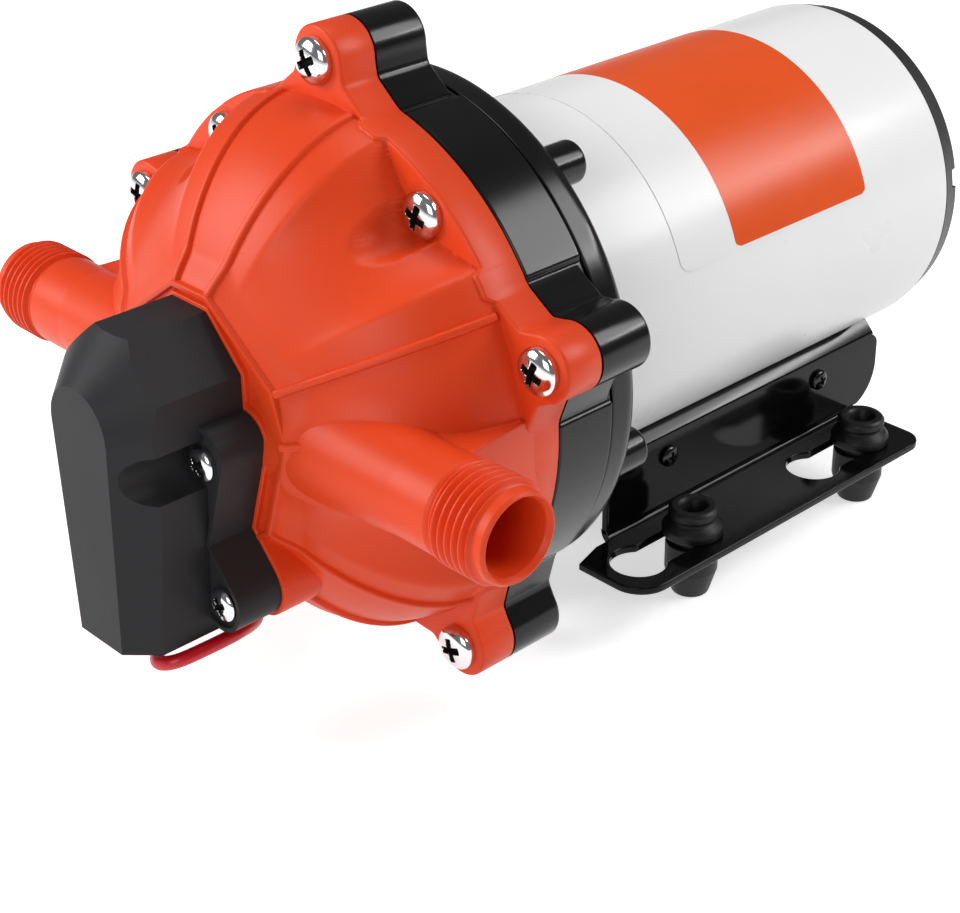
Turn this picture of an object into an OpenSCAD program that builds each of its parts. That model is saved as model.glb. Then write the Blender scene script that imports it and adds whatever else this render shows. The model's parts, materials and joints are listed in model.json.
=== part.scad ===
/* [Base] */
// Height of the pump axis above the mounting surface
axis_h = 76; // [74:0.5:90]
// Distance between the left and right feet
foot_pitch_x = 66.6; // [64:0.2:76]
// Distance between the front and rear feet
foot_pitch_y = 63.5; // [58:0.5:70]
// Height of the flange's top face above the mounting surface
flange_h = 15.7; // [14:0.1:18]
// Thickness of the base sheet
sheet_t = 2; // [1.5:0.1:2.5]
// Outer width over the two rail walls
rail_w = 43; // [41:0.5:45]
// Diameter of the screw hole through a foot
foot_hole_d = 5.5; // [4.5:0.1:6.5]
// Diameter of a foot's collar above the flange
foot_collar_d = 14.4; // [13:0.1:16]

/* [Head] */
// Radius of the cover and of the drive housing
head_r = 57.8; // [56:0.1:65]
// Distance of the lug screws outside the cover's edge
lug_reach = 7.2; // [6.4:0.1:9]
// Radius of a lug's round end
lug_r = 7; // [6.5:0.1:8]
// Thickness of the cover's flange and lugs
flange_t = 9.3; // [9:0.1:12]
// Distance of the inner cover screws inside the cover's edge
inner_inset = 6.1; // [5.5:0.1:6.8]
// Forward depth of the dome
dome_depth = 39.5; // [38:0.5:42]
// Distance of the switch seat in front of the joint face
seat_y = 43.5; // [43:0.1:45]
// Distance of the port axis in front of the joint face
port_y = 31.2; // [30:0.1:32]
// Distance of a port's mouth from the pump axis
port_reach = 78.5; // [74:0.5:86]
// Crest diameter of a port's thread
thread_d = 20.9; // [20:0.1:21.5]
// Bore of a port
port_bore_d = 15.5; // [13:0.1:16]
// Depth of a port's straight bore from its mouth
port_depth = 32; // [28:0.5:36]
// Crests on a port's thread
thread_turns = 7; // [5:1:8]

/* [Drive] */
// Depth of the drive housing behind the joint face
housing_d = 20.7; // [20.5:0.1:22]
// Reach of the housing's rear rim behind its back wall
rim_reach = 2.7; // [1.5:0.1:3.2]
// Rounding of the rear rim's outer edge
rim_round = 4; // [2:0.1:4.5]
// Depth of the raised band on the housing
band_d = 14.7; // [12:0.1:16]
// Depth of a lug boss on the housing
boss_d = 13.6; // [12:0.1:15]
// End of the rear screw stubs behind the joint face
stub_end = 30.7; // [28:0.1:34]
// Radius of the ring of pistons
piston_ring_r = 28.5; // [28:0.1:29]
// Radius of a piston
piston_r = 9; // [8.5:0.1:9.4]
// Tilt of the wobble plate, which sets the stroke
wobble_tilt = 3; // [2:0.1:3.2]

/* [Motor] */
// Outer radius of the motor can
can_r = 41; // [40.5:0.1:42]
// Wall of the motor can
can_wall = 2.4; // [2:0.1:2.6]
// Rear end of the motor can behind the joint face
can_end = 150; // [148:0.5:154]
// Thickness of the rear cap's rim
cap_t = 5.2; // [4:0.1:7]
// Radius of the motor shaft
shaft_r = 4; // [3.8:0.05:4.1]
// Radius of the armature core
core_r = 30; // [28:0.1:30.2]
// Radius of the commutator
comm_r = 12; // [11:0.1:12.4]

/* [Switch] */
// Distance of the switch's front panel in front of the joint face
switch_front = 70.9; // [69:0.1:74]
// Half width of the switch body
switch_hw = 15.2; // [14.6:0.1:15.6]
// Top of the switch above the pump axis
switch_top = 24.5; // [23.5:0.1:25.5]
// Bottom of the switch below the pump axis
switch_bottom = 40.7; // [40:0.1:42]
// Half width of the front panel's round top
panel_hw = 9; // [8:0.1:9.6]
// Travel of the switch plunger
plunger_travel = 1.2; // [0.8:0.1:1.4]

/* [Fits] */
// Gap between moving curved faces
run_gap = 0.35; // [0.3:0.05:0.4]
// Gap round a loose fixed piece
slip_gap = 0.1; // [0.05:0.05:0.2]
// Radial gap between a shaft and its bush
bush_gap = 0.05; // [0.02:0.01:0.08]

/* [Hidden] */
$fn = 96;

lug_angles = [18, 90, 162, 234, 306];
mid_angles = [54, 126, 198, 270, 342];
orange = [0.91, 0.33, 0.18];
black = [0.05, 0.05, 0.055];
steel = [0.75, 0.75, 0.77];
rubber = [0.08, 0.08, 0.08];

// feet and base
foot_front_y = 69.5;
feet_mid_y = foot_front_y + foot_pitch_y / 2;
foot_x = foot_pitch_x / 2;
zf = flange_h - axis_h;
rail_out = rail_w / 2;
rail_in = rail_out - sheet_t;
bend_r = 1.6;
rail_front = 53;
rail_rear = can_end + cap_t - 1;
rail_top = -can_r + 0.5;
flange_front = foot_front_y - 29;
flange_rear = foot_front_y + foot_pitch_y + 13;
flange_out = foot_x + 10.8;
lip_x = rail_out - 3.2;
lip_gap = 0.2;
lip_t = 1.5;
key_ahead = 18.6;
key_r = 6.6;
slot_hw = 4.8;
cradle_front = 62;
cradle_l = 81;
cradle_h = 12;
rail_screw_z = -can_r - 5.2;
rail_screw_y = [73.5, 129.7];

// screws
screw_r = 2.4;
screw_head_r = 4.8;
screw_head_h = 3;
hole_gap = 0.05;

// head
lug_ring_r = head_r + lug_reach;
inner_ring_r = head_r - inner_inset;
lug_root = 17.3;
rim_r = head_r - 0.8;
rim_end = housing_d + rim_reach;
rim_gap = 0.6;
dome_base = 6;
dome_r = head_r - 0.3;
pocket_floor = flange_t - 0.2;
plinth_half_angle = 11.5;
plinth_r = 28;
seat_cut_r = 24;
rib_half_angle = 10.5;
rib_w = 2.2;
rib_h = 1.2;
rib_l = head_r - 0.4 - plinth_r + 3;
scoop_ring_r = inner_ring_r + 27;
scoop_r = scoop_ring_r - inner_ring_r + 1.5;
scoop_slope = 0.2;
pocket_r = screw_head_r + 1.1;
pocket_slope = 0.06;
plate_r = inner_ring_r - screw_r - 2.5;
plate_t = 8;
cav_r = plate_r - 8.3;
cav_depth = 28;
sep_in = piston_ring_r - 7;
sep_out = piston_ring_r - 4.5;
port_step = 1.6;
port_cone_r = 12.2;
port_cone_x = 26;
port_neck_r = thread_d / 2 - 0.5;
port_web_hw = 8;
port_root_hw = 11.5;
port_web_in = 30;
thread_pitch = 2.2;
thread_h = 1.15;
thread_end = port_reach - 2.4;
thread_start = thread_end - thread_turns * thread_pitch;
port_web_x = thread_start - 7.7;
seal_r = 1.6;
seal_ring_r = plate_r - 5.2;

// drive
cavity_r = plate_r - 1.8;
sheet_d = 2;
back_wall = 3.2;
lobe_r = piston_r;
lobe_open_r = piston_r + 1.5;
chamber_r = 12.5;
chamber_d = 5.4;
post_y = sheet_d;
web_y = 5;
web_t = 3.5;
hub_y = web_y + web_t;
wb_w = 8;
wb_out = 14;
wb_in = 6;
wb_ball_r = 1.9;
wb_ball_ring = 10;
wob_y = hub_y + wb_w / 2;
hub_r = 17.6;
hub_open_r = 20;
cam_hub_y = 17;
cam_hub_r = 8.5;
fb_y = housing_d + 1.3;
fb_w = 7;
fb_out = 11;
fb_in = shaft_r;
fb_ball_r = 1.55;
fb_ball_ring = 7.5;
motor_screw_ring = 31;
motor_screw_angles = [36, 144, 216, 324];

// motor
can_in = can_r - can_wall;
brush_plate_y = housing_d + 15.3;
comm_y = brush_plate_y + 2.8;
comm_l = 13;
wind_front = comm_y + comm_l + 2;
core_front = wind_front + 12;
core_rear = 120;
wind_rear = core_rear + 12;
shaft_end = can_end - 2;
bush_l = 8;
bush_front = can_end - bush_l - 1.2;
label_y0 = 55.5;
label_y1 = 120;
label_t = 0.2;
label_angle = 16.5;
brush_hw = 3.4;
brush_l = 11.5;
holder_wall = 1;

// switch
cav_hw = 9;
cav_top = 12;
cav_bottom = 3 - switch_bottom;
body_front = switch_front - 2.7;
nose_d = 4.2;
nose_hw = 4.2;
base_t = 6;
ear_front = seat_y + 10.5;
ear_lip_w = 1;
ear_seat = ear_front - 0.8;
ear_hi = [switch_hw - 0.1, -1];
ear_lo = [switch_hw + 3.4, -31.2];
lobe_hi = [switch_hw + 0.3, 1.2];
lobe_lo = [switch_hw + 1.9, -31.2];
lobe_hi_r = 5.8;
lobe_lo_r = 6.6;
lobe_waist = [switch_hw + 0.1, -19.3];
notch_r = 5.2;
arch_z = 6.8;
panel_taper = 2.5;
sw_screw_r = 1.6;
sw_head_r = 3.6;
sd_r = 11;
sd_t = 1.6;
guide_r = 2.9;
flange_plunger_r = 8.4;
plunger_tip = seat_y + 12.3;
button_gap = 0.3;
micro_y = plunger_tip + plunger_travel + 0.3;

// lead
lead_r = 1.5;
lead_x = -8;
lead_under = -head_r - lead_r - 0.05;
lead_can_y = housing_d + 10;
lead_gap = 0.3;
grommet_waist_r = 2.8;
grommet_hole_r = 2.9;

// helpers: y runs along the pump axis, angles turn from +x towards +z
module place() {
  translate([0, -feet_mid_y, axis_h]) children();
}
module cyl_y(r, y0, y1) {
  translate([0, y0, 0]) rotate([-90, 0, 0]) cylinder(r = r, h = y1 - y0);
}
module cone_y(r0, r1, y0, y1) {
  translate([0, y0, 0]) rotate([-90, 0, 0]) cylinder(r1 = r0, r2 = r1, h = y1 - y0);
}
module tube_y(r0, r1, y0, y1) {
  difference() {
    cyl_y(r1, y0, y1);
    cyl_y(r0, y0 - 1, y1 + 1);
  }
}
module cyl_x(r, x0, x1) {
  translate([x0, 0, 0]) rotate([0, 90, 0]) cylinder(r = r, h = x1 - x0);
}
module spin_y() {
  rotate([-90, 0, 0]) rotate_extrude() children();
}
module plate_y(y0, y1) {
  translate([0, y1, 0]) rotate([90, 0, 0]) linear_extrude(height = y1 - y0) children();
}
module at_ring(r, angles) {
  for (a = angles) translate([r * cos(a), 0, r * sin(a)]) children();
}
module around(angles) {
  for (a = angles) rotate([0, -a, 0]) children();
}
module wobble() {
  translate([0, wob_y, 0]) rotate([wobble_tilt, 0, 0]) translate([0, -wob_y, 0]) children();
}

// a pan head screw along +y, its seat at y = 0
module pan_screw(r, head_r, head_h, length) {
  difference() {
    union() {
      cyl_y(r, -0.2, length);
      intersection() {
        cyl_y(head_r, -head_h, 0);
        translate([0, head_r * 1.05, 0]) sphere(r = head_r * 1.05 + head_h);
      }
    }
    for (a = [0, 90])
      rotate([0, a, 0]) translate([-head_r * 0.55, -head_h - 1, -head_r * 0.11])
        cube([head_r * 1.1, 1 + head_h * 0.55, head_r * 0.22]);
  }
}

// outline of a lug on the +x side
module lug_outline() {
  polygon([
    [head_r - 12, -lug_root], [head_r - 4.6, -lug_root], [lug_ring_r - 3.6, -lug_r - 0.3],
    [lug_ring_r - 1.5, -lug_r + 1.2], [lug_ring_r - 1.5, lug_r - 1.2],
    [lug_ring_r - 3.6, lug_r + 0.3], [head_r - 4.6, lug_root], [head_r - 12, lug_root]
  ]);
  translate([lug_ring_r, 0]) circle(r = lug_r);
}

// half profile of the dome, grown by g
function dome_points(g) = concat(
  [[0, -dome_base], [dome_r + g, -dome_base]],
  [for (i = [1:13]) [
    (dome_r + g) * cos(i * 90 / 13), -dome_base - (dome_depth + g) * sin(i * 90 / 13)
  ]]
);
module dome(g) {
  rotate([0, -90, 0]) spin_y() polygon(dome_points(g));
}

// a ring of sawtooth crests along x
module port_thread() {
  rotate([0, 90, 0]) rotate_extrude() polygon(concat(
    [[0, thread_start - 1], [thread_d / 2 - thread_h, thread_start - 1]],
    [for (i = [0:thread_turns - 1]) each [
      [thread_d / 2 - thread_h, thread_start + (i + 0.06) * thread_pitch],
      [thread_d / 2, thread_start + (i + 0.42) * thread_pitch],
      [thread_d / 2, thread_start + (i + 0.58) * thread_pitch],
      [thread_d / 2 - thread_h, thread_start + (i + 0.94) * thread_pitch]
    ]],
    [[thread_d / 2 - thread_h, port_reach - 0.6], [thread_d / 2 - thread_h - 0.2, port_reach],
     [0, port_reach]]
  ));
}
module port_outer() {
  translate([0, -port_y, 0]) {
    translate([port_cone_x, 0, 0]) rotate([0, 90, 0])
      cylinder(r1 = port_cone_r, r2 = port_neck_r, h = port_web_x - port_cone_x);
    cyl_x(port_neck_r, port_web_x - 1, thread_start);
    port_thread();
  }
}
// the wall that carries a port on the flange: wide at the dome, and leaning out to the thread
module port_web() {
  intersection() {
    plate_y(-port_y, -flange_t / 2) polygon([
      [port_web_in, -port_root_hw], [port_web_x, -port_web_hw], [thread_start, -port_web_hw],
      [thread_start, port_web_hw], [port_web_x, port_web_hw], [port_web_in, port_root_hw]
    ]);
    translate([0, 0, -port_root_hw]) linear_extrude(2 * port_root_hw) polygon([
      [port_web_in, -port_y], [thread_start - 0.6, -port_y], [head_r, -flange_t * 0.75],
      [head_r - 1, -flange_t / 2], [port_web_in, -flange_t / 2]
    ]);
  }
}
module port_bore(x0) {
  translate([0, -port_y, 0]) {
    cyl_x(port_bore_d / 2, port_reach - port_depth, port_reach + 1);
    cyl_x(port_bore_d / 2 - port_step, x0, port_reach - 5);
    translate([port_reach - 1.5, 0, 0]) rotate([0, 90, 0])
      cylinder(r1 = port_bore_d / 2, r2 = port_bore_d / 2 + 0.9, h = 1.6);
  }
}

// one lobe of an ear: a round end, and a wedge that runs straight to the ear's waist
module ear_lobe(centre, r, side, inset) {
  waist = lobe_waist - [inset, 0];
  d = centre - waist;
  a = atan2(d[1], d[0]) - side * asin((r - inset) / norm(d));
  t = sqrt(d * d - pow(r - inset, 2));
  translate(centre) circle(r = r - inset);
  polygon([
    waist, waist + t * [cos(a), sin(a)], centre, [cav_hw + 1, centre[1]], [cav_hw + 1, waist[1]]
  ]);
}
// outline of the switch ears, both sides
module ear_outline(inset) {
  for (s = [0, 1]) mirror([s, 0]) {
    ear_lobe(lobe_hi, lobe_hi_r, 1, inset);
    ear_lobe(lobe_lo, lobe_lo_r, -1, inset);
  }
}

module front_cover() {
  color(orange) place() difference() {
    union() {
      difference() {
        union() {
          cyl_y(head_r, -flange_t, 0);
          around(lug_angles) plate_y(-flange_t, 0) lug_outline();
          difference() {
            dome(0);
            cyl_y(seat_cut_r, -80, -seat_y + 1);
          }
          intersection() {
            dome(rib_h);
            around(concat(
              [for (a = lug_angles) a - rib_half_angle], [for (a = lug_angles) a + rib_half_angle]
            )) translate([plinth_r - 3, -seat_y, -rib_w / 2]) cube([rib_l, seat_y - flange_t + 1, rib_w]);
          }
        }
        around(mid_angles) {
          translate([scoop_ring_r, 0, 0])
            cone_y(scoop_r + 35 * scoop_slope, scoop_r, -pocket_floor - 35, -pocket_floor);
          translate([inner_ring_r, 0, 0])
            cone_y(pocket_r + 35 * pocket_slope, pocket_r, -pocket_floor - 35, -pocket_floor);
        }
      }
      plate_y(-seat_y, -34) polygon([
        for (a = lug_angles, s = [-1, 1])
          plinth_r * [cos(a + s * plinth_half_angle), sin(a + s * plinth_half_angle)]
      ]);
      plate_y(-seat_y, -30) for (s = [-1, 1])
        translate([s * lobe_lo[0], lobe_lo[1]]) circle(r = lobe_lo_r + 0.6);
      for (s = [0, 1]) mirror([s, 0, 0]) {
        port_outer();
        port_web();
      }
    }
    difference() {
      spin_y() polygon(concat(
        [[0, 0.5 - plate_t], [cav_r, 0.5 - plate_t]],
        [for (i = [0:9]) [cav_r * cos(i * 10), -plate_t - cav_depth * sin(i * 10)]]
      ));
      tube_y(sep_in, sep_out, -45, 0);
      translate([0, -port_y, 0]) cyl_x(port_bore_d / 2 + 2.2, sep_in, head_r + 2);
    }
    cyl_y(plate_r + slip_gap, -plate_t, 1);
    tube_y(seal_ring_r - seal_r, seal_ring_r + seal_r, -plate_t - 2 * seal_r * 0.9, -plate_t + 1);
    port_bore(14);
    mirror([1, 0, 0]) port_bore(26);
    at_ring(lug_ring_r, lug_angles) cyl_y(screw_r + hole_gap, -flange_t - 1, 1);
    at_ring(inner_ring_r, mid_angles) cyl_y(screw_r + hole_gap, -flange_t - 1, 1);
    cyl_y(5, -seat_y - 1, -30);
    cyl_y(sd_r + slip_gap, -seat_y - 1, -seat_y + sd_t);
    for (s = [-1, 1], p = [ear_hi, ear_lo])
      translate([s * p[0], 0, p[1]]) cyl_y(sw_screw_r + hole_gap, -seat_y - 1, -seat_y + 7);
  }
}
module cover_lug_screws() {
  color(steel) place() at_ring(lug_ring_r, lug_angles) translate([0, -flange_t, 0])
    pan_screw(screw_r, screw_head_r, screw_head_h, flange_t + boss_d - 2);
}
module cover_inner_screws() {
  color(steel) place() at_ring(inner_ring_r, mid_angles) translate([0, -pocket_floor, 0])
    pan_screw(screw_r, screw_head_r, screw_head_h, pocket_floor + stub_end - 3);
}
// the rounded rim behind the band, which stands round the front of the can
module rear_rim() {
  spin_y() polygon(concat(
    [[can_r + rim_gap, band_d - 1], [rim_r, band_d - 1]],
    [for (i = [0:6]) [rim_r - rim_round * (1 - cos(i * 15)), rim_end - rim_round * (1 - sin(i * 15))]],
    [[can_r + rim_gap, rim_end]]
  ));
}
module drive_housing() {
  color(black) place() difference() {
    union() {
      cyl_y(head_r, 0, band_d);
      cyl_y(rim_r, band_d - 1, housing_d);
      rear_rim();
      around(lug_angles) plate_y(0, boss_d) lug_outline();
      at_ring(inner_ring_r, mid_angles) cyl_y(4.6, housing_d - 2, stub_end);
    }
    cyl_y(cavity_r, -1, housing_d - back_wall);
    cyl_y(plate_r + slip_gap, -1, sheet_d);
    cyl_y(hub_open_r, 0, housing_d + 1);
    at_ring(motor_screw_ring, motor_screw_angles) cyl_y(2 + hole_gap, 0, housing_d + 1);
    at_ring(lug_ring_r, lug_angles) cyl_y(screw_r + hole_gap, -1, boss_d - 1.5);
    at_ring(inner_ring_r, mid_angles) cyl_y(screw_r + hole_gap, -1, stub_end - 2);
  }
}

// the middle of a chamber's inlet valve
inlet_r = piston_ring_r + 3.5;
module valve_plate() {
  color([0.85, 0.85, 0.82]) place() difference() {
    cyl_y(plate_r, -plate_t, 0);
    at_ring(piston_ring_r, lug_angles) cyl_y(chamber_r, -chamber_d, 1);
    at_ring(inlet_r, lug_angles) {
      cyl_y(1.3, -plate_t - 1, 0);
      at_ring(4.2, [0:60:300]) cyl_y(1.2, -plate_t - 1, 0);
    }
    around(lug_angles) for (z = [-3, 0, 3])
      translate([piston_ring_r - 10.1, 0, z]) cyl_y(1.1, -plate_t - 1, 0);
    cyl_y(1.8, -plate_t - 1, 1);
  }
}
module inlet_valves() {
  color([0.2, 0.2, 0.2]) place() at_ring(inlet_r, lug_angles) {
    cyl_y(1.25, -plate_t - 0.8, -chamber_d + 0.3);
    cyl_y(6.4, -chamber_d, -chamber_d + 0.8);
  }
}
module outlet_valve() {
  color([0.2, 0.2, 0.2]) place() {
    cyl_y(sep_in - 0.9, -plate_t - 1, -plate_t);
    cyl_y(1.75, -plate_t - 0.5, -1.5);
  }
}
module cover_seal() {
  color(rubber) place() translate([0, -plate_t - seal_r * 0.85, 0]) intersection() {
    rotate([-90, 0, 0]) rotate_extrude() translate([seal_ring_r, 0]) circle(r = seal_r - 0.02);
    cyl_y(60, -seal_r * 0.9, seal_r * 0.85);
  }
}
module diaphragm() {
  color(rubber) place() difference() {
    cyl_y(plate_r, 0, sheet_d);
    at_ring(piston_ring_r, lug_angles) cyl_y(lobe_open_r, -1, sheet_d + 1);
  }
}
module diaphragm_lobes() {
  color(rubber) place() wobble() at_ring(piston_ring_r, lug_angles) difference() {
    cyl_y(lobe_r, 0, sheet_d);
    cyl_y(2.05, -1, sheet_d + 1);
  }
}
module pistons() {
  color([0.9, 0.9, 0.88]) place() wobble() at_ring(piston_ring_r, lug_angles) difference() {
    cyl_y(piston_r - 0.4, -2, 0);
    cone_y(4.05, 2.05, -2, 0);
    cyl_y(2.05, -1, 1);
  }
}
module piston_screws() {
  color(steel) place() wobble() at_ring(piston_ring_r, lug_angles) difference() {
    union() {
      cone_y(4, 2, -2, 0);
      cyl_y(2, -0.1, web_y + web_t - 0.5);
    }
    for (a = [0, 90]) rotate([0, a, 0]) translate([-2, -3, -0.4]) cube([4, 2.1, 0.8]);
  }
}
module wobble_plate() {
  color([0.8, 0.8, 0.78]) place() wobble() difference() {
    union() {
      cyl_y(hub_r, web_y - 0.4, hub_y + wb_w - 0.4);
      at_ring(piston_ring_r, lug_angles) cyl_y(piston_r, post_y, hub_y + 0.3);
      around(lug_angles) translate([0, web_y, -6]) cube([piston_ring_r, web_t, 12]);
    }
    cyl_y(wb_out + 0.01, hub_y, hub_y + wb_w + 1);
    cyl_y(wb_out - 1.8, web_y + 1.8, hub_y + 1);
    at_ring(piston_ring_r, lug_angles) cyl_y(2.05, 0, web_y + web_t - 0.4);
  }
}
module wobble_bearing_outer() {
  color(steel) place() wobble()
    tube_y(wb_ball_ring + wb_ball_r + run_gap, wb_out, hub_y, hub_y + wb_w);
}
module wobble_bearing_inner() {
  color(steel) place() wobble()
    tube_y(wb_in, wb_ball_ring - wb_ball_r - run_gap, hub_y, hub_y + wb_w);
}
module ball_set(ring, r, y, count) {
  at_ring(ring, [0:360 / count:359]) translate([0, y, 0]) sphere(r = r);
}
module ball_cage(ring, r, y, count) {
  difference() {
    tube_y(ring - 0.7, ring + 0.7, y - r - 0.8, y + r + 0.8);
    around([0:360 / count:359]) translate([0, y, 0]) cyl_x(r + 0.12, ring - 2, ring + 2);
  }
}
module wobble_bearing_balls() {
  color([0.85, 0.85, 0.87]) place() wobble() ball_set(wb_ball_ring, wb_ball_r, wob_y, 9);
}
module wobble_bearing_cage() {
  color([0.7, 0.6, 0.3]) place() wobble() ball_cage(wb_ball_ring, wb_ball_r, wob_y, 9);
}
module drive_cam() {
  color([0.6, 0.6, 0.62]) place() difference() {
    union() {
      wobble() cyl_y(wb_in - 0.01, hub_y + 0.1, hub_y + wb_w);
      cyl_y(cam_hub_r, cam_hub_y + 0.3, housing_d + 0.6);
      cyl_y(wb_in - 0.5, hub_y + wb_w - 1, cam_hub_y + 1);
    }
    cyl_y(shaft_r + 0.01, 0, 40);
    translate([0, (cam_hub_y + housing_d) / 2 + 0.4, 0]) cyl_x(1.5, 0, cam_hub_r + 1);
  }
}
module cam_set_screw() {
  color([0.2, 0.2, 0.22]) place() translate([0, (cam_hub_y + housing_d) / 2 + 0.4, 0])
    difference() {
      cyl_x(1.5 - hole_gap, shaft_r + 0.05, cam_hub_r - 0.6);
      cyl_x(0.75, cam_hub_r - 2.2, cam_hub_r + 1, $fn = 6);
    }
}
module motor_shaft() {
  color([0.7, 0.7, 0.72]) place() union() {
    cyl_y(shaft_r, hub_y + 0.4, shaft_end - 1);
    cone_y(shaft_r, shaft_r - 0.8, shaft_end - 1, shaft_end);
  }
}
module front_bearing_outer() {
  color(steel) place() tube_y(fb_ball_ring + fb_ball_r + run_gap, fb_out, fb_y, fb_y + fb_w);
}
module front_bearing_inner() {
  color(steel) place()
    tube_y(fb_in + 0.01, fb_ball_ring - fb_ball_r - run_gap, fb_y, fb_y + fb_w);
}
module front_bearing_balls() {
  color([0.85, 0.85, 0.87]) place() ball_set(fb_ball_ring, fb_ball_r, fb_y + fb_w / 2, 9);
}
module front_bearing_cage() {
  color([0.7, 0.6, 0.3]) place() ball_cage(fb_ball_ring, fb_ball_r, fb_y + fb_w / 2, 9);
}
module motor_front_plate() {
  color([0.6, 0.6, 0.62]) place() difference() {
    union() {
      cyl_y(can_in - slip_gap, housing_d, housing_d + 3);
      cyl_y(hub_open_r - slip_gap, housing_d - 2.3, housing_d + 1);
      cyl_y(14.5, housing_d, fb_y + fb_w + 1.5);
    }
    cyl_y(9.1, 0, 60);
    cyl_y(fb_out + 0.01, fb_y, 60);
    at_ring(motor_screw_ring, motor_screw_angles) cyl_y(2 + hole_gap, 0, 60);
  }
}
module motor_screws() {
  color(steel) place() at_ring(motor_screw_ring, motor_screw_angles)
    translate([0, housing_d - back_wall, 0]) pan_screw(2, 3.8, 2.4, back_wall + 4.5);
}
module motor_can() {
  color([0.93, 0.93, 0.93]) place() difference() {
    tube_y(can_in, can_r, housing_d, can_end);
    translate([lead_x, lead_can_y, -can_r - 3]) cylinder(r = grommet_hole_r, h = 12);
  }
}
module field_magnets() {
  color([0.25, 0.25, 0.27]) place() difference() {
    tube_y(core_r + 1, can_in - slip_gap, core_front - 5, core_rear + 5);
    translate([-60, 0, -11]) cube([120, 200, 22]);
  }
}
slot_angles = [0:36:324];
module armature_core() {
  color([0.45, 0.45, 0.48]) place() difference() {
    cyl_y(core_r, core_front, core_rear);
    cyl_y(shaft_r + 0.01, 0, 200);
    at_ring(core_r - 6, slot_angles) cyl_y(3.6, 0, 200);
    around(slot_angles) translate([core_r - 6, 0, -0.9]) cube([12, 200, 1.8]);
  }
}
module armature_windings() {
  color([0.72, 0.4, 0.2]) place() union() {
    at_ring(core_r - 6, slot_angles) cyl_y(3.4, wind_front + 4, wind_rear - 4);
    for (m = [[wind_front, core_front - 0.3], [core_rear + 0.3, wind_rear]])
      spin_y() polygon([
        [9, m[0] + 2], [11, m[0]], [23, m[0]], [core_r - 2, m[0] + 4], [core_r - 2, m[1] - 4],
        [23, m[1]], [11, m[1]], [9, m[1] - 2]
      ]);
  }
}
module commutator() {
  color([0.75, 0.45, 0.25]) place() difference() {
    cyl_y(comm_r, comm_y, comm_y + comm_l);
    cyl_y(shaft_r + 0.01, 0, 200);
    around([0:30:330]) translate([comm_r - 1, 0, -0.3]) cube([3, 200, 0.6]);
  }
}
module brush_plate() {
  color([0.35, 0.22, 0.12]) place()
    tube_y(comm_r + 2.5, can_in - slip_gap, brush_plate_y, brush_plate_y + 2.4);
}
brush_y = brush_plate_y + 3.5;
brush_w = 6;
holder_in = comm_r + 3;
holder_out = can_in - 3;
module brush_holders() {
  color([0.8, 0.65, 0.3]) place() for (s = [0, 1]) mirror([s, 0, 0]) difference() {
    translate([holder_in, brush_plate_y + 2.4, -brush_hw - holder_wall - slip_gap])
      cube([holder_out - holder_in, brush_w + 2.2, 2 * (brush_hw + holder_wall + slip_gap)]);
    translate([holder_in - 1, brush_y - slip_gap, -brush_hw - slip_gap])
      cube([holder_out - holder_in, brush_w + 2 * slip_gap, 2 * (brush_hw + slip_gap)]);
  }
}
module brushes() {
  color([0.15, 0.15, 0.15]) place() for (s = [0, 1]) mirror([s, 0, 0])
    translate([comm_r + run_gap, brush_y, -brush_hw]) cube([brush_l, brush_w, 2 * brush_hw]);
}
module brush_springs() {
  color(steel) place() for (s = [-1, 1], i = [0:4])
    translate([
      s * (comm_r + run_gap + brush_l + 0.4
        + i * (holder_out - 1 - comm_r - run_gap - brush_l - 0.8) / 4), brush_y + brush_w / 2, 0
    ]) rotate([0, 90, 0]) rotate_extrude() translate([2.2, 0]) circle(r = 0.35, $fn = 24);
}
module rear_bush() {
  color([0.7, 0.55, 0.3]) place() tube_y(shaft_r + bush_gap, 7, bush_front, bush_front + bush_l);
}
module motor_end_cap() {
  color(black) place() difference() {
    union() {
      cone_y(can_r - 0.1, can_r - 1.3, can_end, can_end + cap_t);
      cyl_y(can_in - slip_gap, can_end - 4, can_end + 1);
      cyl_y(10, bush_front, can_end + 1);
    }
    cyl_y(7.01, bush_front - 1, bush_front + bush_l);
    cyl_y(shaft_r + 0.6, bush_front, can_end - 1);
    tube_y(10, can_in - 3, can_end - 5, can_end + 1.5);
    cyl_y(can_r - 6, can_end + cap_t - 1.2, can_end + cap_t + 1);
    around([9, 99, 189, 279]) translate([can_r - 2.2, can_end + cap_t - 2, -2.2]) cube([4, 4, 4.4]);
  }
}
module motor_label() {
  color([0.92, 0.34, 0.1]) place() intersection() {
    tube_y(can_r + bush_gap, can_r + bush_gap + label_t, label_y0, label_y1);
    plate_y(0, 200) polygon([
      [0, 0], [80 * cos(label_angle), 80 * sin(label_angle)], [80, 80], [-80, 80],
      [-80 * cos(label_angle), 80 * sin(label_angle)]
    ]);
  }
}
module motor_cradle() {
  color(black) place() difference() {
    translate([-rail_in, cradle_front, -can_r - cradle_h]) cube([2 * rail_in, cradle_l, cradle_h]);
    translate([-rail_in + sheet_t, 0, -can_r - 20]) cube([2 * (rail_in - sheet_t), 200, 20 - sheet_t]);
    for (y = rail_screw_y) translate([0, y, rail_screw_z]) cyl_x(1.5 + hole_gap, -60, 60);
  }
}

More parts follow.
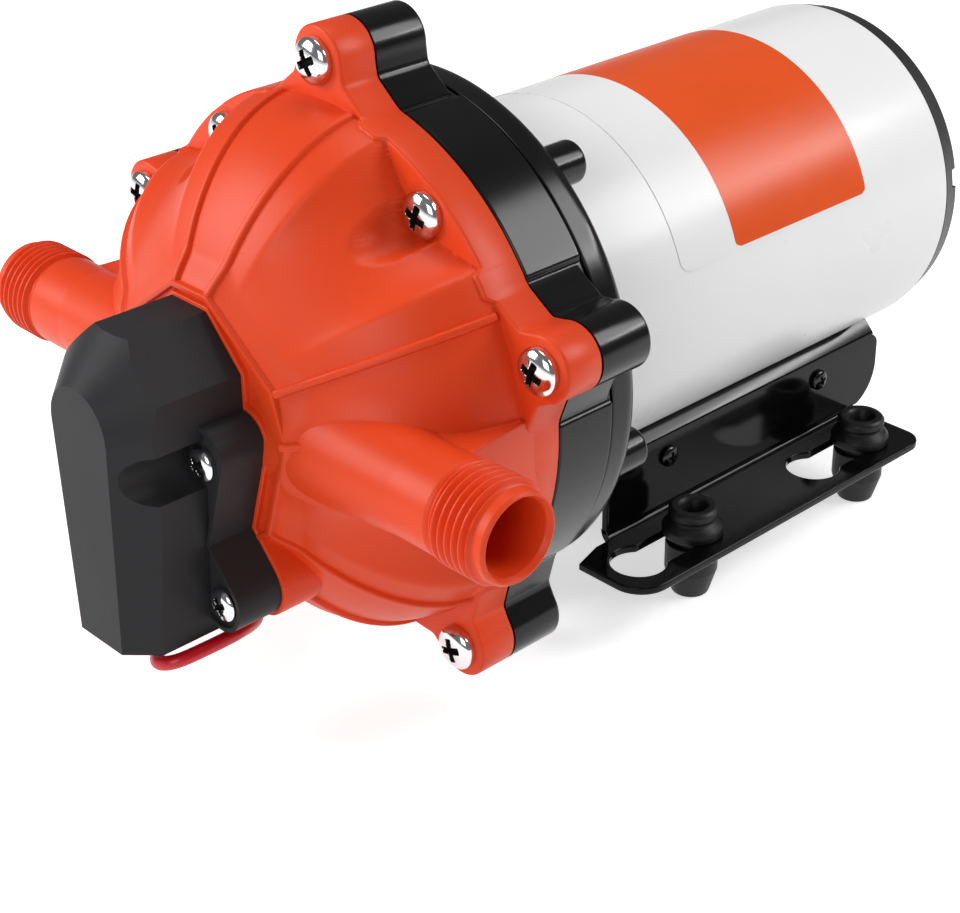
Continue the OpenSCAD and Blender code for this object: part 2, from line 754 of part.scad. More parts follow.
// one side rail, on the +x side
module rail() {
  difference() {
    union() {
      translate([rail_in, 0, 0]) rotate([90, 0, 90]) linear_extrude(height = sheet_t) {
        translate([rail_front, zf + bend_r]) square([flange_rear - rail_front - 2, rail_top - zf - bend_r]);
        translate([rail_front, rail_top - 9]) square([rail_rear - rail_front - 3, 9]);
        translate([rail_rear - 3, rail_top - 3]) circle(r = 3);
        translate([rail_rear - 3, rail_top - 9]) square([3, 6]);
        translate([rail_rear - 11, rail_top - 9]) circle(r = 11);
      }
      plate_y(rail_front, rail_rear - 3) polygon([
        [rail_in, rail_top - 1], [rail_out, rail_top - 1], [rail_out, rail_top],
        [lip_x, -sqrt(pow(can_r + lip_gap, 2) - pow(lip_x, 2))],
        [lip_x - lip_t, -sqrt(pow(can_r + lip_gap + 0.5, 2) - pow(lip_x - lip_t, 2))],
        [rail_in, rail_top]
      ]);
      intersection() {
        translate([rail_out + bend_r, 0, zf + bend_r])
          tube_y(bend_r, bend_r + sheet_t, rail_front, flange_rear);
        translate([0, 0, zf - 10]) cube([rail_out + bend_r, 300, 10 + bend_r]);
      }
      translate([0, 0, zf - sheet_t]) linear_extrude(height = sheet_t) {
        translate([rail_out + bend_r, flange_front + 8])
          square([flange_out - rail_out - bend_r, flange_rear - flange_front - 13]);
        translate([rail_out + 3, flange_front]) square([flange_out - rail_out - 11, 20]);
        translate([rail_out + bend_r, flange_rear - 10])
          square([flange_out - rail_out - bend_r - 5, 10]);
        translate([flange_out - 8, flange_front + 8]) circle(r = 8);
        translate([flange_out - 5, flange_rear - 5]) circle(r = 5);
      }
    }
    for (y = [foot_front_y, foot_front_y + foot_pitch_y]) {
      translate([foot_x, y - key_ahead, zf - 5]) cylinder(r = key_r, h = 10);
      translate([foot_x, y, zf - 5]) cylinder(r = slot_hw, h = 10);
      translate([foot_x - slot_hw, y - key_ahead, zf - 5]) cube([2 * slot_hw, key_ahead, 10]);
    }
    for (y = rail_screw_y) translate([0, y, rail_screw_z]) cyl_x(1.5 + hole_gap, 0, 60);
  }
}
module rail_right() {
  color(black) place() rail();
}
module rail_left() {
  color(black) place() mirror([1, 0, 0]) rail();
}
module rail_screws() {
  color(steel) place() for (s = [-1, 1], y = rail_screw_y)
    translate([s * rail_out, y, rail_screw_z]) rotate([0, 0, s * 90])
      pan_screw(1.5, 2.6, 1.6, 2 * sheet_t + 1.5);
}

// a rubber foot standing on the mounting surface, its axis upright
module foot(x, y) {
  cr = foot_collar_d / 2;
  color(rubber) place() translate([x, y, -axis_h]) rotate_extrude() polygon([
    [foot_hole_d / 2, 0], [4.4, 0], [6.3, 6.5], [6.3, flange_h - sheet_t],
    [slot_hw - slip_gap, flange_h - sheet_t],
    [slot_hw - slip_gap, flange_h], [cr, flange_h], [cr, flange_h + 2.2], [cr - 0.8, flange_h + 3.2],
    [cr - 2, flange_h + 4], [cr - 1.4, flange_h + 5], [cr - 1.4, flange_h + 6.6],
    [cr - 2, flange_h + 7.3], [foot_hole_d / 2, flange_h + 7.3]
  ]);
}
module foot_front_left() {
  foot(-foot_x, foot_front_y);
}
module foot_front_right() {
  foot(foot_x, foot_front_y);
}
module foot_rear_left() {
  foot(-foot_x, foot_front_y + foot_pitch_y);
}
module foot_rear_right() {
  foot(foot_x, foot_front_y + foot_pitch_y);
}

module switch_outline() {
  polygon([
    [-5.4, switch_top], [5.4, switch_top], [switch_hw, switch_top - 10], [switch_hw, -8],
    [switch_hw - 2.4, -switch_bottom], [-switch_hw + 2.4, -switch_bottom], [-switch_hw, -8],
    [-switch_hw, switch_top - 10]
  ]);
}
// what lies inside one sloping side of the switch's front, below the round top
module panel_side(s, chamfer_d) {
  rotate([0, s * panel_taper, 0]) translate([0, 0, -2 * switch_bottom])
    linear_extrude(height = 2 * switch_bottom) polygon([
      [-s * 2 * switch_hw, -switch_front], [s * panel_hw, -switch_front],
      [s * (panel_hw + chamfer_d), -seat_y], [-s * 2 * switch_hw, -seat_y]
    ]);
}
module switch_housing() {
  chamfer_d = switch_front - seat_y;
  color([0.16, 0.16, 0.17]) place() difference() {
    union() {
      intersection() {
        plate_y(-switch_front, -seat_y) switch_outline();
        translate([0, 0, arch_z]) {
          cone_y(panel_hw, panel_hw + chamfer_d, -switch_front, -seat_y);
          intersection() {
            panel_side(1, chamfer_d);
            panel_side(-1, chamfer_d);
          }
        }
      }
      difference() {
        plate_y(-ear_front, -seat_y) ear_outline(0);
        plate_y(-ear_front - 1, -ear_seat) ear_outline(ear_lip_w);
      }
    }
    for (s = [-1, 1]) {
      translate([s * ear_hi[0], 0, ear_hi[1]]) cyl_y(notch_r, -80, -ear_seat);
      for (p = [ear_hi, ear_lo])
        translate([s * p[0], 0, p[1]]) cyl_y(sw_screw_r + hole_gap, -80, 0);
    }
    translate([-cav_hw, nose_d - body_front, cav_bottom])
      cube([2 * cav_hw, body_front, cav_top - cav_bottom]);
    translate([-nose_hw, -body_front, -cav_top])
      cube([2 * nose_hw, body_front, 2 * cav_top]);
    translate([2, exit_y, -switch_bottom - 5]) cylinder(r = grommet_hole_r, h = 20);
  }
}
module switch_screws() {
  color(steel) place() for (s = [-1, 1], p = [ear_hi, ear_lo])
    translate([s * p[0], -ear_seat, p[1]])
      pan_screw(sw_screw_r, sw_head_r, 2.2, ear_seat - seat_y + 6);
}
module switch_base() {
  color([0.3, 0.3, 0.32]) place() difference() {
    translate([slip_gap - cav_hw, -seat_y - base_t, cav_bottom + slip_gap])
      cube([2 * (cav_hw - slip_gap), base_t, cav_top - cav_bottom - 2 * slip_gap]);
    cyl_y(flange_plunger_r + 0.4, -seat_y - 4.6, 0);
    cyl_y(guide_r, -80, 0);
    translate([0, 0, -switch_bottom + 5]) cube([8, 200, 8], center = true);
  }
}
module switch_diaphragm() {
  color(rubber) place() cyl_y(sd_r, -seat_y, -seat_y + sd_t);
}
module switch_plunger() {
  color([0.85, 0.85, 0.8]) place() union() {
    cyl_y(flange_plunger_r, -seat_y - 1.8, -seat_y);
    cyl_y(guide_r - bush_gap, -plunger_tip, -seat_y - 1);
  }
}
module switch_spring() {
  color(steel) place() for (i = [0:2]) translate([0, -seat_y - 2.25 - i * 0.95, 0])
    rotate([90, 0, 0]) rotate_extrude() translate([5, 0]) circle(r = 0.4, $fn = 24);
}
module microswitch() {
  color([0.12, 0.12, 0.13]) place() difference() {
    translate([-3.2, -body_front, -10]) cube([6.4, body_front - micro_y, 20]);
    cyl_y(1.4 + bush_gap, -micro_y - 4, 0);
    for (z = [-6.5, 6.5]) translate([0, -micro_y - 4.5, z]) cyl_x(1.2, -10, 10);
  }
}
module microswitch_button() {
  color([0.8, 0.2, 0.15]) place() cyl_y(1.4, -micro_y - 2, -plunger_tip - button_gap);
}

// route of the red lead from the switch to the motor, and its smoothing
exit_y = -seat_y - 14.5;
loop_z = -switch_bottom - 3.6;
lead_route = [
  [2, exit_y, loop_z + 10.5], [2, exit_y, loop_z + 6.5], [2, exit_y, loop_z + 2.5],
  [2.6, exit_y - 1, loop_z - 0.2], [4.8, exit_y - 3.4, loop_z - 1.6],
  [8.8, exit_y - 5.6, loop_z - 0.8], [12.6, exit_y - 4, loop_z + 0.7],
  [14.2, exit_y + 1.8, loop_z + 1.6], [13.6, exit_y + 10, loop_z + 1.2],
  [8, -39, 11.2 - head_r], [0, -32.5, 8.3 - head_r],
  [-5.5, -26.5, 4.4 - head_r],
  [lead_x, -17.5, lead_under + 2], [lead_x, -8, lead_under], [lead_x, 6, lead_under],
  [lead_x, housing_d - 1, lead_under], [lead_x, lead_can_y - 2.5, lead_under + 4.5],
  [lead_x, lead_can_y, -can_r - 7], [lead_x, lead_can_y, -can_r - 3],
  [lead_x, lead_can_y, -can_r + 0.5], [lead_x, lead_can_y, -can_r + 4]
];
lead_steps = 4;
function catmull(p, q, r, s, t) = 0.5 * (
  2 * q + (r - p) * t + (2 * p - 5 * q + 4 * r - s) * t * t + (3 * q - p - 3 * r + s) * t * t * t
);
lead_path = [
  for (i = [0:len(lead_route) - 2], k = [0:lead_steps - 1]) catmull(
    lead_route[max(i - 1, 0)], lead_route[i], lead_route[i + 1],
    lead_route[min(i + 2, len(lead_route) - 1)], k / lead_steps
  ),
  lead_route[len(lead_route) - 1]
];
function unit(v) = v / norm(v);
function lead_dir(i) = unit(
  lead_path[min(i + 1, len(lead_path) - 1)] - lead_path[max(i - 1, 0)]
);
function lead_side(i) = i == 0
  ? unit(cross(lead_dir(0), [0, 1, 0]))
  : let (s = lead_side(i - 1), d = lead_dir(i)) unit(s - d * (s * d));
lead_sides = 10;
module switch_lead() {
  n = len(lead_path);
  points = [
    for (i = [0:n - 1])
      let (u = lead_side(i), v = cross(lead_dir(i), u))
      for (k = [0:lead_sides - 1])
        lead_path[i] + lead_r * (u * cos(k * 360 / lead_sides) + v * sin(k * 360 / lead_sides))
  ];
  walls = [
    for (i = [0:n - 2], k = [0:lead_sides - 1]) [
      i * lead_sides + k, (i + 1) * lead_sides + k,
      (i + 1) * lead_sides + (k + 1) % lead_sides, i * lead_sides + (k + 1) % lead_sides
    ]
  ];
  ends = [
    [for (k = [0:lead_sides - 1]) k],
    [for (k = [lead_sides - 1:-1:0]) (n - 1) * lead_sides + k]
  ];
  color([0.78, 0, 0.1]) place() polyhedron(points = points, faces = concat(walls, ends));
}
module grommet(x, y, z, h) {
  translate([x, y, z]) rotate_extrude() polygon([
    [lead_r + lead_gap, -h], [3.9, -h], [3.9, -h + 1], [grommet_waist_r, -h + 1],
    [grommet_waist_r, h - 1], [3.9, h - 1], [3.9, h], [lead_r + lead_gap, h]
  ]);
}
// the can's wall slopes across the grommet, so its groove is as wide as that slope
grommet_z = -(sqrt(pow(can_r, 2) - pow(lead_x, 2)) + sqrt(pow(can_in, 2) - pow(lead_x, 2))) / 2;
grommet_h = can_wall / 2 + 2.2;
module lead_grommets() {
  color(rubber) place() {
    grommet(2, exit_y, -switch_bottom + 1.5, 2.5);
    grommet(lead_x, lead_can_y, grommet_z, grommet_h);
  }
}

front_cover();
cover_lug_screws();
cover_inner_screws();
drive_housing();
valve_plate();
inlet_valves();
outlet_valve();
cover_seal();
diaphragm();
diaphragm_lobes();
pistons();
piston_screws();
wobble_plate();
wobble_bearing_outer();
wobble_bearing_inner();
wobble_bearing_balls();
wobble_bearing_cage();
drive_cam();
cam_set_screw();
motor_shaft();
front_bearing_outer();
front_bearing_inner();
front_bearing_balls();
front_bearing_cage();
motor_front_plate();
motor_screws();
motor_can();
field_magnets();
armature_core();
armature_windings();
commutator();
brush_plate();
brush_holders();
brushes();
brush_springs();
rear_bush();
motor_end_cap();
motor_label();
motor_cradle();
rail_left();
rail_right();
rail_screws();
foot_front_left();
foot_front_right();
foot_rear_left();
foot_rear_right();
switch_housing();
switch_screws();
switch_base();
switch_diaphragm();
switch_plunger();
switch_spring();
microswitch();
microswitch_button();
switch_lead();
lead_grommets();
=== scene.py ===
import json
import math

import bpy
import numpy as np
from mathutils import Matrix, Vector
from mathutils.geometry import tessellate_polygon


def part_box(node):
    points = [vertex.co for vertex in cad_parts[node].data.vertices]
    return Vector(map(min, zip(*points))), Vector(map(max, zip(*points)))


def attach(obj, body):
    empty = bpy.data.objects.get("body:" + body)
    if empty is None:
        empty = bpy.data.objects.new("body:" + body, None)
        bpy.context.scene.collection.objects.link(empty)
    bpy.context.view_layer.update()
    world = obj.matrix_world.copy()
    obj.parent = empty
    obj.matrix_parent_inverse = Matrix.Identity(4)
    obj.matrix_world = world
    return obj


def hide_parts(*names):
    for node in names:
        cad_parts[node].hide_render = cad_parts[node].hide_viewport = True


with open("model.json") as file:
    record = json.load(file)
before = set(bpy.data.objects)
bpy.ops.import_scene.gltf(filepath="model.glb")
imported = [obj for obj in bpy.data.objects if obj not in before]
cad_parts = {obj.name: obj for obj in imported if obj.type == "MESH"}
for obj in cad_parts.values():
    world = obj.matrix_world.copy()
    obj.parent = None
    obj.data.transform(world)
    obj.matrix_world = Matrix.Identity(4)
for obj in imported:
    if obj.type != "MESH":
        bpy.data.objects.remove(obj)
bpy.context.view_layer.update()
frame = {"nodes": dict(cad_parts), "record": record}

nodes = frame["nodes"]
scene = bpy.context.scene

# Sizes are in millimetres, in the pump's own axes: x to the outlet side, y along the pump axis from
# the joint face between cover and drive housing towards the motor, z up from the pump axis.
MM = 0.001
AXIS_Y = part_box("drive_housing")[0][1]
AXIS_Z = (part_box("motor_can")[0][2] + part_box("motor_can")[1][2]) / 2
AXIS_H = 76.0
SIDES = (-1, 1)
TURN, QUARTER = 2 * math.pi, math.pi / 2

# Head: the outline that cover and drive housing share, with five lugs
LUG_ANGLES = np.radians([18, 90, 162, 234, 306])
MID_ANGLES = np.radians([54, 126, 198, 270, 342])
HEAD_R, LUG_RING_R, LUG_R = 57.8, 65.0, 7.0
LUG_NECK, LUG_SHOULDER = (61.2, 7.5), (56.15, 13.7)
NECK_ROUND, SHOULDER_ROUND = 1.8, 5.0
TIP_END, GAP_FROM, GAP_TO = np.radians([92, 16, 36])
INNER_RING_R = 51.7
OUTLINE_STEP, FINE_STEP = 0.7, 0.5
JOINT_GAP, JOINT_EDGE_Y, JOINT_EDGE_IN, JOINT_FACE_W = 0.12, 0.45, 0.3, 6.0

# Cover
FLANGE_T, COVER_EDGE = 9.3, 0.8
DOME_R, DOME_BASE, DOME_DEPTH, DOME_FOOT_R = 57.5, 6.0, 39.5, 57.35
LENS_RING_R, LENS_R = 78.7, 28.5
POCKET_FLOOR, POCKET_R, POCKET_SLOPE = 9.1, 5.7, 0.05
SEAT, GROOVE = 43.5, 1.2
PLINTH_R, PLINTH_HALF, PLINTH_CORNER, PLINTH_EDGE = 28.0, math.radians(11.5), 1.2, 0.6
RIB_HALF, RIB_W, RIB_H, RIB_END_R = math.radians(10.5), 0.95, 0.95, 57.2

# Ports
PORT_Y, PORT_REACH, PORT_BORE_R, BORE_END = -31.2, 78.5, 7.75, 46.5
THREAD_R, THREAD_H, THREAD_PITCH, THREAD_TURNS = 10.45, 1.15, 1.814, 6.5
THREAD_END = PORT_REACH - 2.4
THREAD_START = THREAD_END - THREAD_TURNS * THREAD_PITCH
PORT_CONE_R, PORT_CONE_X, PORT_NECK_R, PORT_ROOT_X = 12.2, 26.0, 9.95, 16.0
PORT_WEB_X, PORT_WEB_END, PORT_WEB_HW, PORT_ROOT_HW, PORT_WEB_IN = 53.0, 60.2, 8.0, 11.5, 30.0

# Drive housing
BAND_D, HOUSING_D, HOUSING_BORE_R = 14.7, 20.7, 40.0
BOSS_D, BOSS_HALF, BOSS_ROOT_R, BOSS_ROOT_HW, BOSS_EDGE = 13.6, math.radians(13.9), 50.0, 13.0, 1.0
STUB_END, STUB_R, STUB_ROUND, STUB_TUCK = 30.7, 4.6, 1.3, 2
RIM_R, RIM_END, RIM_ROUND, RIM_GAP = HEAD_R - 0.8, HOUSING_D + 2.7, 4.0, 0.6
RIM_GROOVE_R, RIM_GROOVE_YS = RIM_R - 1.2, (BAND_D + 0.1, BAND_D + 0.7, BAND_D + 1.0)
PANEL_HALF, PANEL_FADE, PANEL_H = math.radians(21.2), 0.005, 0.6

# Motor, with a plain sticker of two layers
CAN_R, CAN_WALL, CAN_FRONT, CAN_END, CAP_T = 41.0, 2.4, HOUSING_D + 0.1, 150.0, 5.2
LABEL_R, LABEL_T, LABEL_YS, LABEL_DEGREES, LABEL_CORNER = CAN_R + 0.04, 0.12, (55.5, 120), (16.5, 163.5), 3.0
BLOCK_R, BLOCK_T, BLOCK_YS, BLOCK_DEGREES, BLOCK_CORNER = CAN_R + 0.14, 0.06, (73.2, 119), (17.7, 162.3), 1.6

# Base
FOOT_X, FOOT_YS = 33.3, (69.5, 133.0)
SHEET_T, SHEET_EDGE, SHEET_STEP, BEND_R = 2.0, 0.45, 0.6, 1.6
FLANGE_H = 15.7
FLANGE_Z, FLANGE_OUT = FLANGE_H - AXIS_H, FOOT_X + 10.8
FLANGE_FRONT, FLANGE_REAR = FOOT_YS[0] - 29, FOOT_YS[1] + 13
FLANGE_FRONT_R, FLANGE_REAR_R = 8, 5
KEY_AHEAD, KEY_R, SLOT_HW = 18.6, 6.6, 4.8
RAIL_OUT, RAIL_FRONT, RAIL_REAR, RAIL_TOP = 21.5, 53.0, CAN_END + CAP_T - 1, -CAN_R + 0.5
RAIL_END_R, RAIL_END_DROP, RAIL_END_FROM, RAIL_CORNER_R = 11.0, 9, -68, 3
LIP_X, LIP_T, LIP_GAP, LIP_ROUND = RAIL_OUT - 3.2, 1.5, 0.2, 1.2
LIP_TUCK, BEND_TUCK = 0.8, 0.6
RAIL_SCREW_YS, RAIL_SCREW_Z = (73.5, 129.7), -46.2

# Switch, and the seat of its body and its two-lobed ears
SWITCH_HW, SWITCH_TOP, SWITCH_BOTTOM, EAR_SEAT = 15.2, 24.5, -40.7, 53.2
SWITCH_FLAT_HW, SWITCH_SLOPE, EAR_TOP, MITRE = 5.4, 10, 9, 0.4
EAR_SCREWS = ((SWITCH_HW - 0.1, -1.0), (SWITCH_HW + 3.4, -31.2))
LOBES = ((SWITCH_HW + 0.3, 1.2, 5.8), (SWITCH_HW + 1.9, -31.2, 6.6))
LOBE_WAIST = (SWITCH_HW + 0.1, -19.3)
PAD_MARGIN, PAD_ROOT, PAD_EDGE = 0.8, 34.0, 0.3

# Screws: shank radius, head radius and head height
COVER_SCREW, EAR_SCREW, RAIL_SCREW = (2.4, 4.8, 3.0), (1.6, 3.6, 2.2), (1.5, 2.6, 1.6)


# Shapes


def to_frame(points):
    """Pump axes in millimetres to the shared frame in metres."""
    p = np.array(points, dtype=float) * MM
    p[:, 1] += AXIS_Y
    p[:, 2] += AXIS_Z
    return p


class Shape:
    """Vertices and faces of one piece, in the pump's axes."""

    def __init__(self):
        self.verts = np.zeros((0, 3))
        self.faces = []
        self.second = set()

    def add(self, verts, faces, second=()):
        """Adds faces; those listed in second take the piece's second material."""
        base = len(self.verts)
        self.second |= {len(self.faces) + i for i in second}
        self.verts = np.vstack([self.verts, np.asarray(verts, dtype=float)])
        self.faces += [tuple(base + i for i in f) for f in faces]
        return self


def grid_faces(rows, cols, wrap_rows=False):
    """Quads of a grid that is closed along its columns."""
    faces = []
    for i in range(rows if wrap_rows else rows - 1):
        a, b = i * cols, ((i + 1) % rows) * cols
        for j in range(cols):
            k = (j + 1) % cols
            faces.append((a + j, a + k, b + k, b + j))
    return faces


def fan(centre, ring, flip=False):
    """Triangles between one vertex and a ring."""
    n = len(ring)
    out = [(centre, ring[j], ring[(j + 1) % n]) for j in range(n)]
    return [tuple(reversed(f)) for f in out] if flip else out


def skin(rows, closed=False):
    """A shape through rings of equal length, capped at both ends or joined end to end."""
    n, count = len(rows[0]), len(rows)
    shape = Shape().add(np.vstack(rows), grid_faces(count, n, closed))
    if not closed:
        shape.faces.append(tuple(reversed(range(n))))
        shape.faces.append(tuple(range((count - 1) * n, count * n)))
    return shape


def pointed(rows, first, last):
    """A shape through rings of equal length, closed by a point at either end."""
    n, count = len(rows[0]), len(rows)
    end = count * n
    shape = Shape().add(np.vstack(rows + [np.array([first, last])]), grid_faces(count, n))
    shape.faces += fan(end, range(n), True)
    shape.faces += fan(end + 1, range(end - n, end))
    return shape


def ring_at(loop, y):
    """A loop of (x, z) pairs at one y, or at a y for each pair."""
    return np.stack([loop[:, 0], np.broadcast_to(y, len(loop)), loop[:, 1]], axis=1)


def on_ring(radius, angle, y):
    """A point at an angle round the pump axis."""
    return (radius * math.cos(angle), y, radius * math.sin(angle))


def round_steps(n):
    """Angles of n equal steps round a full turn."""
    return np.linspace(0, TURN, n, endpoint=False)


def signed_turn(angle):
    """An angle brought between minus and plus half a turn."""
    return (angle + math.pi) % TURN - math.pi


def arc(centre, radius, a0, a1, steps=16):
    """Points of a 2-D arc between two angles in degrees."""
    t = np.radians(np.linspace(a0, a1, steps))
    return [(centre[0] + radius * math.cos(a), centre[1] + radius * math.sin(a)) for a in t]


def quarter_round(edge, steps):
    """(inset, drop) pairs of a rounded edge, from the face to the side."""
    t = np.linspace(0, QUARTER, steps + 1)
    return list(zip(edge * (1 - np.sin(t)), edge * (1 - np.cos(t))))


def fillet(points, radii, steps=5):
    """A 2-D polyline with its inner corners rounded; a corner takes less than half of each side."""
    nearly_straight, side_share = 0.02, 0.49
    pts = [np.array(p, dtype=float) for p in points]
    out = [pts[0]]
    for i in range(1, len(pts) - 1):
        r = radii[i] if isinstance(radii, (list, tuple)) else radii
        u = pts[i - 1] - pts[i]
        v = pts[i + 1] - pts[i]
        lu, lv = np.linalg.norm(u), np.linalg.norm(v)
        u, v = u / lu, v / lv
        half = math.acos(max(-1, min(1, float(u @ v)))) / 2
        if r <= 0 or half > QUARTER - nearly_straight:
            out.append(pts[i])
            continue
        t = min(r / math.tan(half), side_share * lu, side_share * lv)
        a, b = pts[i] + u * t, pts[i] + v * t
        for k in range(steps + 1):
            s = k / steps
            out.append((1 - s) ** 2 * a + 2 * s * (1 - s) * pts[i] + s * s * b)
    out.append(pts[-1])
    return np.array(out)


def resample(points, spacing):
    """A closed 2-D loop with points at equal distances."""
    closed = np.vstack([points, points[:1]])
    seg = np.linalg.norm(np.diff(closed, axis=0), axis=1)
    s = np.concatenate([[0], np.cumsum(seg)])
    n = int(round(s[-1] / spacing))
    at = np.linspace(0, s[-1], n, endpoint=False)
    return np.stack([np.interp(at, s, closed[:, 0]), np.interp(at, s, closed[:, 1])], axis=1)


def turned(points, angle):
    """2-D points turned about the origin."""
    c, s = math.cos(angle), math.sin(angle)
    return points @ np.array([[c, s], [-s, c]])


def normals_2d(points):
    """Normals of a closed loop, to the right of its direction."""
    d = np.roll(points, -1, axis=0) - np.roll(points, 1, axis=0)
    d /= np.linalg.norm(d, axis=1, keepdims=True)
    return np.stack([d[:, 1], -d[:, 0]], axis=1)


def lathe(profile, axis, n, centre=(0, 0, 0), closed=False):
    """Turns (radius, position) pairs about the y or z direction through centre."""
    on_axis = 1e-9
    profile = np.array(profile, dtype=float)
    t = round_steps(n)
    along = np.repeat(profile[:, 1:2], n, axis=1)
    c, s = profile[:, 0:1] * np.cos(t), profile[:, 0:1] * np.sin(t)
    order = {"y": (s, along, c), "z": (c, s, along)}[axis]
    verts = np.stack(order, axis=-1).reshape(-1, 3) + np.array(centre)
    shape = Shape().add(verts, grid_faces(len(profile), n, closed))
    if not closed:
        if profile[0, 0] > on_axis:
            shape.faces.append(tuple(reversed(range(n))))
        if profile[-1, 0] > on_axis:
            shape.faces.append(tuple(range((len(profile) - 1) * n, len(profile) * n)))
    return shape


def loop_prism(loop, y0, y1, edge, steps):
    """A closed outline of (x, z) pairs run along y, its edge at y0 rounded."""
    normal = normals_2d(loop)
    sign = 1 if y1 > y0 else -1
    rows = [ring_at(loop - inset * normal, y0 + sign * drop) for inset, drop in quarter_round(edge, steps)]
    return skin(rows + [ring_at(loop, y1)])


def sweep(path, across, out, section, closed=False):
    """Runs a closed (across, out) section along a path, with both directions given at each point."""
    rows = [p + section[:, :1] * a + section[:, 1:] * o for p, a, o in zip(path, across, out)]
    return skin(rows, closed)


def outward(shape):
    """Turns the faces so that the shape's volume is positive."""
    v = shape.verts
    corners = [(f[0], f[i], f[i + 1]) for f in shape.faces for i in range(1, len(f) - 1)]
    a, b, c = (v[column] for column in np.array(corners).T)
    if np.einsum("ij,ij->i", a, np.cross(b, c)).sum() < 0:
        shape.faces = [tuple(reversed(f)) for f in shape.faces]
    return shape


def smax(a, b, k):
    """The greater of two heights, blended over a width k."""
    h = np.clip(0.5 + 0.5 * (a - b) / k, 0, 1)
    return b + (a - b) * h + k * h * (1 - h)


def smin(a, b, k):
    """The lesser of two heights, blended over a width k."""
    return -smax(-a, -b, k)


def step(lo, hi, x):
    """A smooth rise from 0 at lo to 1 at hi."""
    t = np.clip((x - lo) / (hi - lo), 0, 1)
    return t * t * (3 - 2 * t)


def piece(name, shapes, material, replaces, angle=38, second=None):
    """Makes one object of closed shapes, hides the CAD nodes that it stands in for and hangs it on the pump
    body; edges over the angle stay sharp.
    """
    whole = Shape()
    for s in shapes:
        s = outward(s)
        whole.add(s.verts, s.faces, s.second)
    mesh = bpy.data.meshes.new(name)
    mesh.from_pydata(to_frame(whole.verts).tolist(), [], whole.faces)
    mesh.update()
    mesh.polygons.foreach_set("use_smooth", [True] * len(mesh.polygons))
    mesh.set_sharp_from_angle(angle=math.radians(angle))
    mesh.materials.append(material)
    if second:
        mesh.materials.append(second)
        which = [int(i in whole.second) for i in range(len(whole.faces))]
        mesh.polygons.foreach_set("material_index", which)
    obj = bpy.data.objects.new(name, mesh)
    scene.collection.objects.link(obj)
    if replaces:
        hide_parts(*replaces)
    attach(obj, "pump")
    return obj


def soften(node, width, segments, angle=35):
    """Rounds the hard edges of a CAD node with modifiers, so its own mesh stays as it is."""
    same_point = 1e-6
    obj = nodes[node]
    weld = obj.modifiers.new("weld", "WELD")
    weld.merge_threshold = same_point
    bevel = obj.modifiers.new("bevel", "BEVEL")
    bevel.width = width * MM
    bevel.segments = segments
    bevel.limit_method = "ANGLE"
    bevel.angle_limit = math.radians(angle)
    obj.modifiers.new("normals", "WEIGHTED_NORMAL")


# Materials


CLOUD_DETAIL, GRAIN_DETAIL = 3, 4
RAMP_ENDS = (0.3, 0.7)
LEAST_ROUGH = 0.02


def srgb(r, g, b):
    """A colour given as 0 to 255 per channel, made linear."""
    def lin(c):
        c /= 255
        return c / 12.92 if c <= 0.04045 else ((c + 0.055) / 1.055) ** 2.4
    return (lin(r), lin(g), lin(b), 1)


def shade(colour, factor):
    """A colour made darker or lighter."""
    return tuple(min(1, c * factor) for c in colour[:3]) + (1,)


def blank_material(name):
    """A material without nodes, and the calls that add and link them."""
    m = bpy.data.materials.new(name)
    m.use_nodes = True
    m.node_tree.nodes.clear()
    return m, m.node_tree.nodes.new, m.node_tree.links.new


def material(name, colour, rough, spread=0.06, grain=900, grain_depth=1e-5, cloud=60,
             cloud_tint=0.08, metallic=0.0, specular=0.5, stretch=(1, 1, 1)):
    """Two noises at different scales drive colour, roughness and bump of one shader."""
    m, new, link = blank_material(name)
    out = new("ShaderNodeOutputMaterial")
    bsdf = new("ShaderNodeBsdfPrincipled")
    link(bsdf.outputs["BSDF"], out.inputs["Surface"])
    coords = new("ShaderNodeTexCoord")
    mapping = new("ShaderNodeMapping")
    mapping.inputs["Scale"].default_value = stretch
    link(coords.outputs["Object"], mapping.inputs["Vector"])
    noises = []
    for scale, detail in ((cloud, CLOUD_DETAIL), (grain, GRAIN_DETAIL)):
        noise = new("ShaderNodeTexNoise")
        noise.inputs["Scale"].default_value = scale
        noise.inputs["Detail"].default_value = detail
        link(mapping.outputs["Vector"], noise.inputs["Vector"])
        noises.append(noise)
    clouds, fine = noises
    ramp = new("ShaderNodeValToRGB")
    for element, end, tint in zip(ramp.color_ramp.elements, RAMP_ENDS, (-cloud_tint, cloud_tint)):
        element.position = end
        element.color = shade(colour, 1 + tint)
    link(clouds.outputs["Fac"], ramp.inputs["Fac"])
    link(ramp.outputs["Color"], bsdf.inputs["Base Color"])
    span = new("ShaderNodeMapRange")
    span.inputs["To Min"].default_value = max(LEAST_ROUGH, rough - spread)
    span.inputs["To Max"].default_value = rough + spread
    link(fine.outputs["Fac"], span.inputs["Value"])
    link(span.outputs["Result"], bsdf.inputs["Roughness"])
    bump = new("ShaderNodeBump")
    bump.inputs["Strength"].default_value = 1.0
    bump.inputs["Distance"].default_value = grain_depth
    link(fine.outputs["Fac"], bump.inputs["Height"])
    link(bump.outputs["Normal"], bsdf.inputs["Normal"])
    bsdf.inputs["Metallic"].default_value = metallic
    bsdf.inputs["Specular IOR Level"].default_value = specular
    return m


